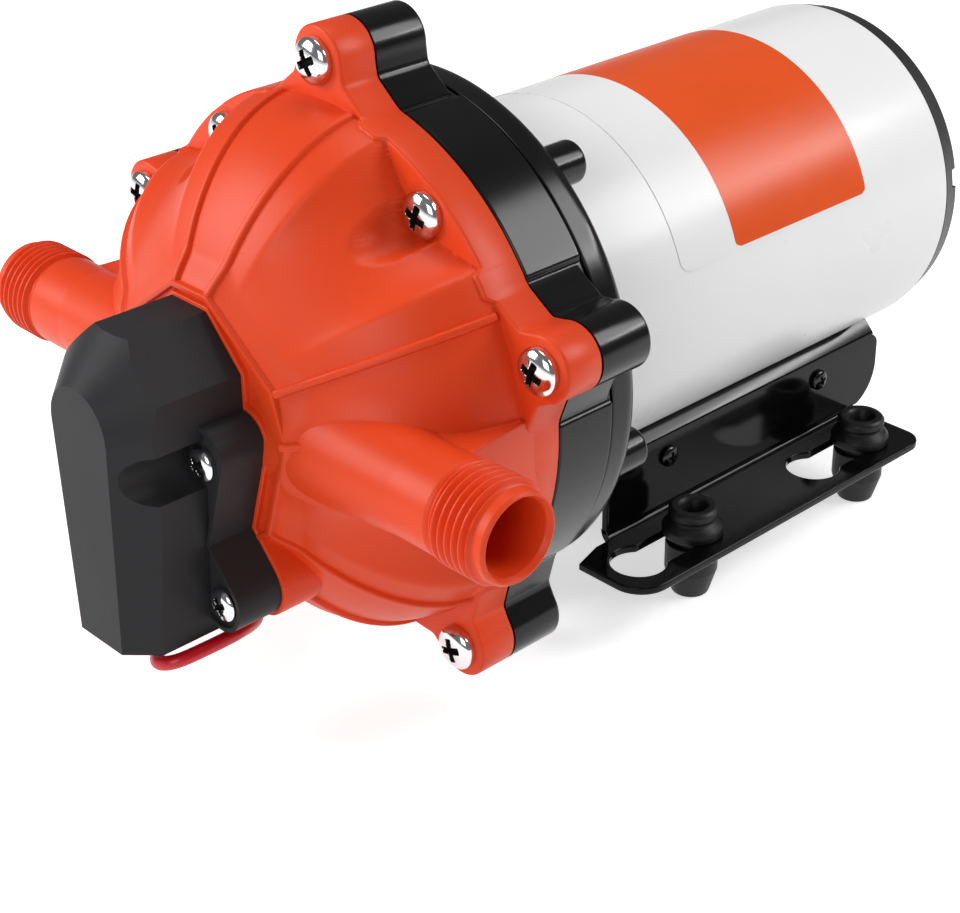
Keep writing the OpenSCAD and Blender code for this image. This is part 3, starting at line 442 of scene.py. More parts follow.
orange = material("cover_orange", srgb(228, 70, 28), 0.40, 0.04, grain=1500, grain_depth=1e-5,
                  cloud=25, cloud_tint=0.03, specular=0.26)
chrome = material("screw_chrome", srgb(225, 225, 228), 0.12, 0.05, grain=700, grain_depth=4e-6,
                  cloud=200, cloud_tint=0.05, metallic=1.0)
# Painted shade: the faces inside each cross recess take this near-black colour for the shade that falls in
# the recess.
recess = material("screw_recess_painted_shade", srgb(16, 15, 15), 0.6, 0.08, grain=1500, grain_depth=2e-5,
                  cloud=300, cloud_tint=0.2, specular=0.2)
# Painted reflection: the side screws are chrome, darkened here to paint in the dark flange and surroundings
# that they reflect.
chrome_painted_dark = material("screw_chrome_painted_dark", srgb(58, 58, 60), 0.2, 0.05, grain=700, grain_depth=2e-6,
                      cloud=200, cloud_tint=0.1, metallic=1.0)
gloss_black = material("housing_black", srgb(13, 13, 14), 0.2, 0.02, grain=500, grain_depth=1e-6,
                       cloud=30, cloud_tint=0.15, specular=0.3)
can_white = material("can_white", srgb(243, 243, 243), 0.28, 0.02, grain=60, grain_depth=2e-7,
                     cloud=20, cloud_tint=0.012, specular=0.3)
sticker_white = material("sticker_white", srgb(241, 241, 241), 0.32, 0.02, grain=60, grain_depth=2e-7,
                         cloud=40, cloud_tint=0.012, specular=0.3)
label_orange = material("label_orange", srgb(232, 84, 26), 0.32, 0.03, grain=60, grain_depth=2e-7,
                        cloud=60, cloud_tint=0.03, specular=0.3)
cap_black = material("cap_black", srgb(22, 22, 23), 0.42, 0.06, grain=1100, grain_depth=1e-5,
                     cloud=50, cloud_tint=0.12)
rail_black = material("rail_black", srgb(9, 9, 10), 0.12, 0.02, grain=300, grain_depth=5e-7,
                      cloud=40, cloud_tint=0.15, specular=0.16)
foot_rubber = material("foot_rubber", srgb(13, 13, 13), 0.46, 0.07, grain=1600, grain_depth=2e-5,
                       cloud=80, cloud_tint=0.15, specular=0.35)
switch_grey = material("switch_grey", srgb(46, 46, 48), 0.46, 0.05, grain=2200, grain_depth=2e-5,
                       cloud=40, cloud_tint=0.08, specular=0.12)
lead_red = material("lead_red", srgb(205, 10, 30), 0.34, 0.05, grain=900, grain_depth=1e-5,
                    cloud=120, cloud_tint=0.06)
valve_white = material("valve_white", srgb(228, 226, 218), 0.45, cloud_tint=0.04)
seal_rubber = material("seal_rubber", srgb(28, 28, 28), 0.62, grain=1800, grain_depth=3e-5)
steel = material("screw_steel", srgb(150, 150, 154), 0.34, grain=900, metallic=1.0)
wobble_grey = material("wobble_grey", srgb(205, 204, 198), 0.48, cloud_tint=0.05)
ground_steel = material("ground_steel", srgb(188, 190, 194), 0.22, grain=1500, metallic=1.0,
                        stretch=(1, 9, 1))
brass = material("cage_brass", srgb(201, 168, 92), 0.30, grain=900, metallic=1.0)
aluminium = material("plate_aluminium", srgb(176, 177, 180), 0.48, grain=700, grain_depth=4e-5,
                     metallic=1.0)
magnet = material("magnet_grey", srgb(70, 70, 73), 0.66, grain=800, grain_depth=5e-5)
core = material("core_steel", srgb(120, 121, 126), 0.42, grain=500, metallic=1.0, stretch=(1, 6, 1))
copper = material("winding_copper", srgb(186, 108, 58), 0.32, grain=600, grain_depth=6e-5,
                  metallic=1.0, stretch=(1, 0.2, 1))
board = material("brush_board", srgb(104, 70, 42), 0.6, grain=500, cloud_tint=0.15)
carbon = material("brush_carbon", srgb(38, 38, 39), 0.7, grain=900, grain_depth=3e-5)
spring_steel = material("spring_steel", srgb(170, 171, 175), 0.26, grain=900, metallic=1.0)
bronze = material("bush_bronze", srgb(176, 140, 84), 0.45, grain=1100, grain_depth=3e-5, metallic=1.0)
micro_black = material("micro_black", srgb(30, 30, 31), 0.4, grain=1200)
button_red = material("button_red", srgb(196, 52, 40), 0.42, grain=1200)

by_slot = {
    "cover_orange": orange, "screw_chrome": chrome, "housing_black": gloss_black,
    "valve_white": valve_white, "seal_rubber": seal_rubber, "screw_steel": steel,
    "wobble_grey": wobble_grey, "ground_steel": ground_steel, "cage_brass": brass,
    "plate_aluminium": aluminium, "can_white": can_white, "magnet_grey": magnet,
    "core_steel": core, "winding_copper": copper, "brush_board": board, "brush_carbon": carbon,
    "spring_steel": spring_steel, "bush_bronze": bronze, "cap_black": cap_black,
    "label_orange": label_orange, "rail_black": rail_black, "foot_rubber": foot_rubber,
    "switch_grey": switch_grey, "micro_black": micro_black, "button_red": button_red,
    "lead_red": lead_red,
}
for sub in frame["record"]["subparts"]:
    mesh = nodes[sub["node"]].data
    mesh.materials.clear()
    mesh.materials.append(by_slot[sub["material_slot"]])


# The outline that the cover and the drive housing share


OUTLINE_POINTS = 26


def lug_half_outline():
    """Half of one lug seen from the front, from its tip to the middle of the next gap."""
    t = np.linspace(0, TIP_END, OUTLINE_POINTS)
    tip = np.stack([LUG_RING_R + LUG_R * np.cos(t), LUG_R * np.sin(t)], axis=1)
    gap = np.linspace(GAP_FROM, GAP_TO, OUTLINE_POINTS)
    rim = np.stack([HEAD_R * np.cos(gap), HEAD_R * np.sin(gap)], axis=1)
    flank = fillet([tip[-1], LUG_NECK, LUG_SHOULDER, rim[0]], [0, NECK_ROUND, SHOULDER_ROUND, 0], 8)
    return np.vstack([tip, flank[1:-1], rim])


half_lug = lug_half_outline()
whole_lug = np.vstack([(half_lug * [1, -1])[::-1], half_lug[1:-1]])
head_outline = resample(np.vstack([turned(whole_lug, a) for a in LUG_ANGLES]), OUTLINE_STEP)
head_normal = normals_2d(head_outline)


# The cover's front, as a height in front of the joint face over every point of the outline


DOME_RINGS, LUG_RINGS, EDGE_STEPS = 150, 14, 5
LEAST_LUG = 0.3
LENS_WINDOW, LENS_BLEND = 0.4, 1.2
SQUEEZE_FROM, SQUEEZE_TO = 24, 50
DOME_BLEND, POCKET_FOOT_BLEND = 0.6, 1.5
POCKET_BLEND, POCKET_MORE, POCKET_MORE_FROM, POCKET_MORE_TO = 0.4, 3.6, 3, 14
SKIRT_DROP, SKIRT_SLOPE, SKIRT_CURVE, SKIRT_BLEND = 1.1, 0.6, 0.07, 1.2
PORT_FILLET_H, PORT_FILLET_W = 1.3, 5.0
PORT_FILLET_IN, PORT_FILLET_OUT = (18, 27), (52, 56)


def dome_edge(x, z):
    """Radius at which the dome meets the flange: drawn in round each inner screw."""
    edge = np.full_like(x, DOME_R)
    angle = np.arctan2(z, x)
    for a in MID_ANGLES:
        off = signed_turn(angle - a)
        reach = np.clip(LENS_R ** 2 - (LENS_RING_R * np.sin(off)) ** 2, 0, None)
        near = LENS_RING_R * np.cos(off) - np.sqrt(reach)
        edge = np.where(np.abs(off) < LENS_WINDOW, smin(edge, near, LENS_BLEND), edge)
    return edge


def dome_height(x, z):
    """Height of the dome alone, squeezed inwards near the inner screws."""
    radius = np.hypot(x, z)
    squeeze = 1 + (DOME_R / dome_edge(x, z) - 1) * step(SQUEEZE_FROM, SQUEEZE_TO, radius)
    inside = np.clip(1 - (radius * squeeze / DOME_R) ** 2, 0, None)
    return DOME_BASE + DOME_DEPTH * np.sqrt(inside)


def port_radius(x):
    """Radius of a port's cone between the dome and the neck."""
    return np.interp(x, [PORT_CONE_X, PORT_WEB_X], [PORT_CONE_R, PORT_NECK_R])


def plinth_distance(x, z):
    """Distance outside the ten-sided seat under the switch, negative inside."""
    d = np.full_like(x, -np.inf)
    for angles, half in ((LUG_ANGLES, PLINTH_HALF), (MID_ANGLES, GAP_TO - PLINTH_HALF)):
        for a in angles:
            d = np.maximum(d, x * math.cos(a) + z * math.sin(a) - PLINTH_R * math.cos(half))
    return d


def cover_height(x, z):
    """Dome and flange, with the screw pockets, the seat's plinth and a fillet round each port."""
    h = smax(dome_height(x, z), np.full_like(x, FLANGE_T), DOME_BLEND)
    for a in MID_ANGLES:
        pocket = np.hypot(x - INNER_RING_R * math.cos(a), z - INNER_RING_R * math.sin(a)) - POCKET_R
        wall = POCKET_FLOOR + smax(pocket / POCKET_SLOPE, np.zeros_like(h), POCKET_FOOT_BLEND)
        more = step(POCKET_MORE_FROM, POCKET_MORE_TO, wall - POCKET_FLOOR)
        h = smin(h, wall, POCKET_BLEND + POCKET_MORE * more)
    beyond = plinth_distance(x, z)
    skirt = np.clip(beyond, 0, None)
    h = smax(h, SEAT - SKIRT_DROP - SKIRT_SLOPE * skirt - SKIRT_CURVE * skirt ** 2, SKIRT_BLEND)
    h = np.where(beyond < -PLINTH_EDGE, SEAT - GROOVE, h)
    radius = np.hypot(x, z)
    for side in SIDES:
        near = np.hypot(h + PORT_Y, z) - port_radius(side * x)
        fade = step(*PORT_FILLET_IN, side * x) * (1 - step(*PORT_FILLET_OUT, radius))
        rise = np.clip(1 - np.clip(near, 0, None) / PORT_FILLET_W, 0, None) ** 2
        h = h + PORT_FILLET_H * fade * rise
    return h


def cover_shell():
    """The cover without ports and ribs: rings from the nose to the lugs, then round to the joint face."""
    inset = head_outline - COVER_EDGE * head_normal
    reach = np.linalg.norm(inset, axis=1)
    ray = inset / reach[:, None]
    foot = np.minimum(DOME_FOOT_R, reach - LEAST_LUG)
    rings = [foot * math.sin(k / DOME_RINGS * QUARTER) for k in range(1, DOME_RINGS + 1)]
    rings += [foot + (reach - foot) * k / LUG_RINGS for k in range(1, LUG_RINGS + 1)]
    rows = []
    for r in rings:
        p = ray * r[:, None]
        rows.append(ring_at(p, -cover_height(p[:, 0], p[:, 1])))
    front = rows[-1][:, 1]
    for pull, drop in quarter_round(COVER_EDGE, EDGE_STEPS)[1:]:
        rows.append(ring_at(head_outline - pull * head_normal, front + drop))
    for y, pull in ((-JOINT_EDGE_Y, 0.0), (-JOINT_GAP, JOINT_EDGE_IN), (-JOINT_GAP, JOINT_FACE_W)):
        rows.append(ring_at(head_outline - pull * head_normal, y))
    nose = float(cover_height(np.zeros(1), np.zeros(1))[0])
    return pointed(rows, (0.0, -nose, 0.0), (0.0, -JOINT_GAP, 0.0))


# Ports with a real helical thread


PORT_SIDES, THREAD_ROWS = 120, 118
TOOTH_TOP, TOOTH_SLOPE = 1.28, 2.75
THREAD_RUN_IN, THREAD_RUN_OUT = 1.0, 1.4


def port(side):
    """A hollow port along x: bore, mouth, thread, neck and cone."""
    root = THREAD_R - THREAD_H
    inner = fillet([(0.0, BORE_END), (PORT_BORE_R, BORE_END), (PORT_BORE_R, PORT_REACH - 1.2),
                    (PORT_BORE_R + 0.7, PORT_REACH), (root - 0.5, PORT_REACH), (root, PORT_REACH - 0.7),
                    (root, THREAD_END)], [0, 0, 0.6, 0.3, 0.4, 0.4, 0], 4)
    outer = fillet([(root + 0.1, THREAD_START), (root + 0.3, THREAD_START - 0.2),
                    (PORT_NECK_R, THREAD_START - 0.8), (PORT_NECK_R, PORT_WEB_X),
                    (PORT_CONE_R, PORT_CONE_X), (PORT_CONE_R + 0.8, PORT_ROOT_X), (0.0, PORT_ROOT_X)],
                   [0, 0.2, 0.4, 8, 8, 0, 0], 5)
    t = round_steps(PORT_SIDES)
    threaded = []
    for x in np.linspace(THREAD_END, THREAD_START, THREAD_ROWS)[1:-1]:
        phase = ((x - THREAD_START) / THREAD_PITCH + side * t / TURN) % 1.0
        tooth = np.clip(TOOTH_TOP - TOOTH_SLOPE * np.abs(phase - 0.5), 0, 1)
        run_in = step(THREAD_START, THREAD_START + THREAD_RUN_IN, x)
        run_out = 1 - step(THREAD_END - THREAD_RUN_OUT, THREAD_END, x)
        threaded.append((root + THREAD_H * tooth * (run_in * run_out), x))
    rows = []
    for r, x in list(inner) + threaded + list(outer):
        across, up = PORT_Y + r * np.cos(t), r * np.sin(t)
        rows.append(np.stack([np.full(PORT_SIDES, side * x), across, up], axis=1))
    return Shape().add(np.vstack(rows), grid_faces(len(rows), PORT_SIDES))


def port_web(side):
    """The wall that carries a port on the flange: wide at the dome, and leaning out to the thread."""
    rows = []
    for y, reach in ((PORT_Y, PORT_WEB_END), (-0.75 * FLANGE_T, HEAD_R), (-0.5 * FLANGE_T, HEAD_R - 1.0)):
        loop = fillet([(PORT_WEB_IN, 0), (PORT_WEB_IN, -PORT_ROOT_HW), (PORT_WEB_X, -PORT_WEB_HW),
                       (reach, -PORT_WEB_HW), (reach, PORT_WEB_HW), (PORT_WEB_X, PORT_WEB_HW),
                       (PORT_WEB_IN, PORT_ROOT_HW), (PORT_WEB_IN, 0)], [0, 0, 4, 0.5, 0.5, 4, 0, 0], 6)
        rows.append(ring_at(loop[:-1] * [side, 1], y))
    return skin(rows)


# Ribs, and the seat of the switch


RIB_ROWS, RIB_TUCK, RIB_ROOT, RIB_FOOT, RIB_TAPER = 70, 0.6, -1.2, -0.05, 0.25
PLINTH_RIM_ROOT, PLINTH_RIM_TOP, PLINTH_RIM_ROUND = -6, 0.1, 0.35
LOBE_STEPS = 14


def rib(angle):
    """A rounded rib from the seat's rim to the edge of the dome."""
    r = np.linspace(PLINTH_R - RIB_TUCK, RIB_END_R, RIB_ROWS)
    c, s = math.cos(angle), math.sin(angle)
    path = np.stack([r * c, -cover_height(r * c, r * s), r * s], axis=1)
    across = np.tile([-s, 0.0, c], (len(r), 1))
    out = np.cross(across, np.gradient(path, axis=0))
    out /= np.linalg.norm(out, axis=1, keepdims=True)
    out *= np.sign(out @ [c, -1.0, s])[:, None]
    section = fillet([(0, RIB_ROOT), (-RIB_W, RIB_ROOT), (-RIB_W, RIB_FOOT), (-RIB_W + RIB_TAPER, RIB_H),
                      (RIB_W - RIB_TAPER, RIB_H), (RIB_W, RIB_FOOT), (RIB_W, RIB_ROOT), (0, RIB_ROOT)],
                     [0, 0, 0.1, 0.55, 0.55, 0.1, 0, 0], 5)
    return sweep(path, across, out, section[:-1])


def plinth_rim():
    """The rim round the ten-sided seat, with a groove inside it."""
    angles = sorted(a + side * PLINTH_HALF for a in LUG_ANGLES for side in SIDES)
    corners = [PLINTH_R * np.array([math.cos(a), math.sin(a)]) for a in angles]
    start = (corners[-1] + corners[0]) / 2
    loop = resample(fillet([start] + corners + [start], PLINTH_CORNER, 5)[:-1], FINE_STEP)
    out = np.tile([0.0, -1.0, 0.0], (len(loop), 1))
    section = fillet([(-0.7, PLINTH_RIM_ROOT), (0.5, PLINTH_RIM_ROOT), (0.1, PLINTH_RIM_TOP),
                      (-1.1, PLINTH_RIM_TOP), (-1.5, PLINTH_RIM_ROOT), (-0.7, PLINTH_RIM_ROOT)],
                     [0, 0, PLINTH_RIM_ROUND, PLINTH_RIM_ROUND, 0, 0], 5)
    return sweep(ring_at(loop, -SEAT), ring_at(normals_2d(loop), 0.0), out, section[:-1], True)


def ear_side(margin):
    """Right half of the switch's seat: its body and the two lobes of an ear, widened by a margin."""
    waist = np.array(LOBE_WAIST) + [margin, 0]
    loop = [(0, SWITCH_TOP + margin), (SWITCH_FLAT_HW + MITRE * margin, SWITCH_TOP + margin),
            (SWITCH_HW + margin, SWITCH_TOP - SWITCH_SLOPE + MITRE * margin), (SWITCH_HW + margin, EAR_TOP)]
    for (x, z, r), side in zip(LOBES, (1, -1)):
        d = np.array([x, z]) - waist
        lean = QUARTER - math.asin((r + margin) / np.linalg.norm(d))
        tangent = math.degrees(signed_turn(math.atan2(d[1], d[0]) + side * lean + math.pi))
        if side > 0:
            loop += arc((x, z), r + margin, 90, tangent, LOBE_STEPS) + [tuple(waist)]
        else:
            loop += arc((x, z), r + margin, tangent, -90, LOBE_STEPS)
    return np.array(loop + [(0, LOBES[1][1] - LOBES[1][2] - margin)])


def switch_pad():
    """The raised pad on which the switch sits."""
    half_loop = ear_side(PAD_MARGIN)
    loop = np.vstack([half_loop, half_loop[1:-1][::-1] * [-1, 1]])[::-1]
    return loop_prism(resample(loop, FINE_STEP), -SEAT, -PAD_ROOT, PAD_EDGE, 4)


ribs = [rib(a + side * RIB_HALF) for a in LUG_ANGLES for side in SIDES]
ports = [port(1), port(-1), port_web(1), port_web(-1)]
piece("cover", [cover_shell()] + ports + [plinth_rim(), switch_pad()] + ribs,
      orange, ["front_cover"], angle=50)


# Screws


SCREW_SIDES, SCREW_RINGS, RING_POWER = 96, 40, 0.9
HEAD_UPRIGHT, BULGE_POWERS = 0.42, (2.6, 0.62)
ARM_HALF, ARM_REACH = (0.12, 0.16), (0.48, 0.54)
CROSS_DEPTH, CROSS_RISE, SUNK_FROM = 0.8, 0.5, 0.3
TIP_LENGTH, TIP_R = 0.8, 0.35
CROSS_TURNS = (0.35, 1.1, 0.2, 0.7, 1.25)
SCREW_ANGLE = 60


def screw(size, length, cross):
    """A pan head screw along +y with its seat at y = 0, and a cross recess turned by an angle."""
    radius, head_r, head_h = size
    t = round_steps(SCREW_SIDES)
    rows, inside = [], []
    for k in range(1, SCREW_RINGS + 1):
        r = head_r * math.sin(k / SCREW_RINGS * QUARTER) ** RING_POWER
        share = r / head_r
        dome = max(0.0, 1 - share ** BULGE_POWERS[0]) ** BULGE_POWERS[1]
        bulge = head_h * (HEAD_UPRIGHT + (1 - HEAD_UPRIGHT) * dome)
        ax, az = np.abs(share * np.cos(t + cross)), np.abs(share * np.sin(t + cross))
        arm = (1 - step(*ARM_HALF, np.minimum(ax, az))) * (1 - step(*ARM_REACH, np.maximum(ax, az)))
        depth = head_h * arm * (CROSS_DEPTH - CROSS_RISE * share)
        inside.append(arm > SUNK_FROM)
        rows.append(np.stack([r * np.cos(t), -(bulge - depth), r * np.sin(t)], axis=1))
    side = fillet([(head_r, -HEAD_UPRIGHT * head_h), (head_r, 0), (radius, 0),
                   (radius, length - radius * TIP_LENGTH), (radius * TIP_R, length)], [0, 0.25, 0.1, 0, 0], 3)
    for r, y in side[1:]:
        rows.append(np.stack([r * np.cos(t), np.full(SCREW_SIDES, y), r * np.sin(t)], axis=1))
    shape = pointed(rows, (0, -(1 - CROSS_DEPTH) * head_h, 0), (0, length, 0))
    # Faces in the cross recess take the second material, which paints shade into the recess.
    sunk = set(np.flatnonzero(np.concatenate(inside)).tolist())
    shape.second = {i for i, face in enumerate(shape.faces) if sunk.intersection(face)}
    return shape


def placed(shape, at, turn=0.0):
    """Turns a screw's +y towards +x or -x where asked, and moves its seat to a point."""
    shape.verts[:, :2] = turned(shape.verts[:, :2], turn)
    shape.verts = shape.verts + np.array(at)
    return shape


lug_screw_l, inner_screw_l = FLANGE_T + BOSS_D - 2, POCKET_FLOOR + STUB_END - 3
ear_screw_l, rail_screw_l = EAR_SEAT - SEAT + 6, 5.5
piece("lug_screws", [placed(screw(COVER_SCREW, lug_screw_l, c), on_ring(LUG_RING_R, a, -FLANGE_T))
                     for a, c in zip(LUG_ANGLES, CROSS_TURNS)],
      chrome, ["cover_lug_screws"], SCREW_ANGLE, recess)
piece("inner_screws", [placed(screw(COVER_SCREW, inner_screw_l, c), on_ring(INNER_RING_R, a, -POCKET_FLOOR))
                       for a, c in zip(MID_ANGLES, CROSS_TURNS)],
      chrome, ["cover_inner_screws"], SCREW_ANGLE, recess)
piece("ear_screws", [placed(screw(EAR_SCREW, ear_screw_l, 0.4 + 0.5 * side + 0.2 * i),
                            (side * x, -EAR_SEAT, z))
                     for side in SIDES for i, (x, z) in enumerate(EAR_SCREWS)],
      chrome, ["switch_screws"], SCREW_ANGLE, recess)
# The side screws take the darkened chrome, a painted reflection of the black flange below them.
piece("side_screws", [placed(screw(RAIL_SCREW, rail_screw_l, 0.3 + y), (side * RAIL_OUT, y, RAIL_SCREW_Z),
                             side * QUARTER)
                      for side in SIDES for y in RAIL_SCREW_YS],
      chrome_painted_dark, ["rail_screws"], SCREW_ANGLE, recess)


# Drive housing


BAND_SIDES, BAND_STEP, BAND_FINE_R, STUB_SIDES = 900, 0.45, 55, 48


def housing_band():
    """The housing's round body: a flush panel between two bosses, a groove, and a rounded rear rim."""
    section = fillet([(HOUSING_BORE_R, JOINT_GAP), (HEAD_R - JOINT_EDGE_IN, JOINT_GAP),
                      (HEAD_R, JOINT_EDGE_Y), (HEAD_R, BAND_D), (RIM_GROOVE_R, RIM_GROOVE_YS[0]),
                      (RIM_GROOVE_R, RIM_GROOVE_YS[1]), (RIM_R, RIM_GROOVE_YS[2]), (RIM_R, RIM_END),
                      (CAN_R + RIM_GAP, RIM_END), (CAN_R + RIM_GAP, HOUSING_D), (HOUSING_BORE_R, HOUSING_D)],
                     [0, 0.1, 0.1, 0.45, 0.2, 0.2, 0.5, RIM_ROUND, 0.4, 0, 0], 8)
    dense = [section[0]]
    for a, b in zip(section[:-1], section[1:]):
        outside = min(a[0], b[0]) > BAND_FINE_R
        parts = max(1, int(np.linalg.norm(b - a) / BAND_STEP)) if outside else 1
        dense += [a + (b - a) * (k + 1) / parts for k in range(parts)]
    t = round_steps(BAND_SIDES)
    between = np.zeros(BAND_SIDES)
    for a in MID_ANGLES:
        off = np.abs(signed_turn(t - a))
        between = np.maximum(between, 1 - step(PANEL_HALF - PANEL_FADE, PANEL_HALF + PANEL_FADE, off))
    rows = []
    for r, y in dense:
        on_band = r > HEAD_R - 1.0 and y < BAND_D + 0.05
        radius = r - PANEL_H * (1 - between) if on_band else r
        rows.append(np.stack([radius * np.cos(t), np.full(BAND_SIDES, y), radius * np.sin(t)], axis=1))
    return skin(rows, True)


def lug_boss(angle):
    """The boss behind a lug, without the lug's flanks."""
    tip = [p for p in whole_lug if abs(math.atan2(p[1], p[0])) < BOSS_HALF]
    loop = resample(np.array(tip + [(BOSS_ROOT_R, BOSS_ROOT_HW), (BOSS_ROOT_R, -BOSS_ROOT_HW)]), OUTLINE_STEP)
    return loop_prism(turned(loop, angle), BOSS_D, JOINT_GAP, BOSS_EDGE, 5)


stub_root = HOUSING_D - STUB_TUCK
stub = fillet([(0, STUB_END), (STUB_R, STUB_END), (STUB_R, stub_root), (0, stub_root)],
              [0, STUB_ROUND, 0, 0], 6)
stubs = [lathe(stub, "y", STUB_SIDES, on_ring(INNER_RING_R, a, 0)) for a in MID_ANGLES]
piece("drive_case", [housing_band()] + [lug_boss(a) for a in LUG_ANGLES] + stubs, gloss_black,
      ["drive_housing"], angle=50)


# Motor


CAN_SIDES, PATCH_COLS = 256, 160

can = fillet([(CAN_R - CAN_WALL, CAN_FRONT), (CAN_R, CAN_FRONT), (CAN_R, CAN_END),
              (CAN_R - CAN_WALL, CAN_END), (CAN_R - CAN_WALL, CAN_FRONT)], [0, 0.5, 0.7, 0.3, 0], 4)
piece("can", [lathe(can[:-1], "y", CAN_SIDES, closed=True)], can_white, ["motor_can"])
soften("motor_end_cap", width=0.5, segments=3)


def curved_patch(radius, thick, ys, degrees, corner):
    """A thin sheet on the can with rounded corners, between two angles above the horizon."""
    a0, a1 = degrees
    w = math.radians(a1 - a0) * radius
    us = np.linspace(0, w, PATCH_COLS)
    low, high = [], []
    for u in us:
        edge = min(u, w - u)
        dip = corner - math.sqrt(max(0.0, corner ** 2 - max(0.0, corner - edge) ** 2))
        low.append(ys[0] + dip)
        high.append(ys[1] - dip)
    verts = []
    for r in (radius, radius + thick):
        for edge_ys in (low, high):
            for u, y in zip(us, edge_ys):
                verts.append(on_ring(r, math.radians(a0) + u / radius, y))
    n = PATCH_COLS
    faces = []
    for i in range(n - 1):
        j = i + 1
        faces.append((i, j, n + j, n + i))
        faces.append((2 * n + j, 2 * n + i, 3 * n + i, 3 * n + j))
        faces.append((j, i, 2 * n + i, 2 * n + j))
        faces.append((n + i, n + j, 3 * n + j, 3 * n + i))
    faces.append((0, n, 3 * n, 2 * n))
    faces.append((n - 1, 3 * n - 1, 4 * n - 1, 2 * n - 1))
    return Shape().add(verts, faces)


piece("label_base", [curved_patch(LABEL_R, LABEL_T, LABEL_YS, LABEL_DEGREES, LABEL_CORNER)],
      sticker_white, ["motor_label"], angle=30)
piece("label_block", [curved_patch(BLOCK_R, BLOCK_T, BLOCK_YS, BLOCK_DEGREES, BLOCK_CORNER)],
      label_orange, (), angle=30)


# Base


FLAT_MARGIN, FOOT_SIDES = 0.15, 72
WALL_SETBACK, FLANGE_NOSE, BEND_SHORT = 2, 3, 0.5
LIP_PROUD, LIP_ROOT, LIP_BACK, LIP_SHORT = 0.03, 3, 1, 2.5


def plate(outline, holes, low, high):
    """A flat sheet with rounded edges; its outline runs anticlockwise and its holes clockwise."""
    shape, tops, bottoms = Shape(), [], []
    rounding = quarter_round(SHEET_EDGE, 4)
    levels = [(SHEET_EDGE + FLAT_MARGIN, high)] + [(inset, high - drop) for inset, drop in rounding]
    levels += [(inset, low + high - w) for inset, w in reversed(levels)]
    for loop in [outline] + holes:
        loop = resample(np.array(loop), SHEET_STEP)
        normal = normals_2d(loop)
        n, base = len(loop), len(shape.verts)
        rows = [np.column_stack([loop - inset * normal, np.full(n, w)]) for inset, w in levels]
        shape.add(np.vstack(rows), grid_faces(len(rows), n))
        tops.append(range(base, base + n))
        bottoms.append(range(base + (len(rows) - 1) * n, base + len(rows) * n))
    for rings, side in ((tops, -1), (bottoms, 1)):
        order = [i for ring in rings for i in ring]
        for corners in tessellate_polygon([[Vector(shape.verts[i]) for i in ring] for ring in rings]):
            face = tuple(order[i] for i in corners)
            a, b, c = (shape.verts[i] for i in face)
            area = (b[0] - a[0]) * (c[1] - a[1]) - (b[1] - a[1]) * (c[0] - a[0])
            shape.faces.append(face if area * side > 0 else face[::-1])
    return shape


def keyhole(y):
    """The hole beside a foot, clockwise: a round end ahead of it, and a slot up to the foot."""
    half = math.degrees(math.asin(SLOT_HW / KEY_R))
    wide = arc((FOOT_X, y - KEY_AHEAD), KEY_R, 90 + half, 450 - half, 40)
    return (wide + arc((FOOT_X, y), SLOT_HW, 0, 180))[::-1]


def rail_wall():
    """The upright sheet of the right rail, with its rounded rear end."""
    top, bottom = RAIL_TOP - LIP_TUCK, FLANGE_Z + BEND_TUCK
    end = (RAIL_REAR - RAIL_END_R, RAIL_TOP - RAIL_END_DROP)
    corner = (RAIL_REAR - RAIL_CORNER_R, top - RAIL_CORNER_R)
    outline = [(RAIL_FRONT, bottom), (FLANGE_REAR - WALL_SETBACK, bottom)]
    outline += arc(end, RAIL_END_R, RAIL_END_FROM, 0) + arc(corner, RAIL_CORNER_R, 0, 90)
    outline += [(RAIL_FRONT, top)]
    wall = plate(outline, [], RAIL_OUT - SHEET_T, RAIL_OUT)
    wall.verts = wall.verts[:, [2, 0, 1]]
    return wall


def rail_flange():
    """The flat sheet of the right rail, with a keyhole beside each foot."""
    inner = RAIL_OUT + BEND_TUCK
    front = (FLANGE_OUT - FLANGE_FRONT_R, FLANGE_FRONT + FLANGE_FRONT_R)
    rear = (FLANGE_OUT - FLANGE_REAR_R, FLANGE_REAR - FLANGE_REAR_R)
    outline = [(inner, front[1]), (RAIL_OUT + FLANGE_NOSE, FLANGE_FRONT)]
    outline += arc(front, FLANGE_FRONT_R, -90, 0) + arc(rear, FLANGE_REAR_R, 0, 90)
    outline += [(inner, FLANGE_REAR)]
    return plate(outline, [keyhole(y) for y in FOOT_YS], FLANGE_Z - SHEET_T, FLANGE_Z)


def rail(side):
    """A side rail: wall, flange, the bend between them, and the lip against the can."""
    centre = (RAIL_OUT + BEND_R, FLANGE_Z + BEND_R)
    bend = arc(centre, BEND_R + SHEET_T, 180, 270) + arc(centre, BEND_R, 270, 180)
    lip_z = [-math.sqrt((CAN_R + LIP_GAP) ** 2 - x ** 2) for x in (LIP_X, LIP_X - LIP_T)]
    face, back = RAIL_OUT + LIP_PROUD, RAIL_OUT - SHEET_T
    lip = fillet([(back, RAIL_TOP - LIP_ROOT), (face, RAIL_TOP - LIP_ROOT), (face, RAIL_TOP),
                  (LIP_X, lip_z[0]), (LIP_X - LIP_T, lip_z[1]), (back, RAIL_TOP - LIP_BACK)],
                 [0, 0, LIP_ROUND, 0.3, 0.3, 0], 6)
    shapes = [rail_wall(), rail_flange()]
    for section, rear in ((bend, FLANGE_REAR - BEND_SHORT), (lip, RAIL_REAR - LIP_SHORT)):
        path = np.array([(0, RAIL_FRONT, 0), (0, rear, 0)])
        shapes.append(sweep(path, np.eye(3)[[0, 0]], np.eye(3)[[2, 2]], np.array(section)))
    for shape in shapes:
        shape.verts = shape.verts * [side, 1, 1]
    return shapes


for name, side in (("left", -1), ("right", 1)):
    piece("side_rail_" + name, rail(side), rail_black, ["rail_" + name])
soften("motor_cradle", width=0.4, segments=2)


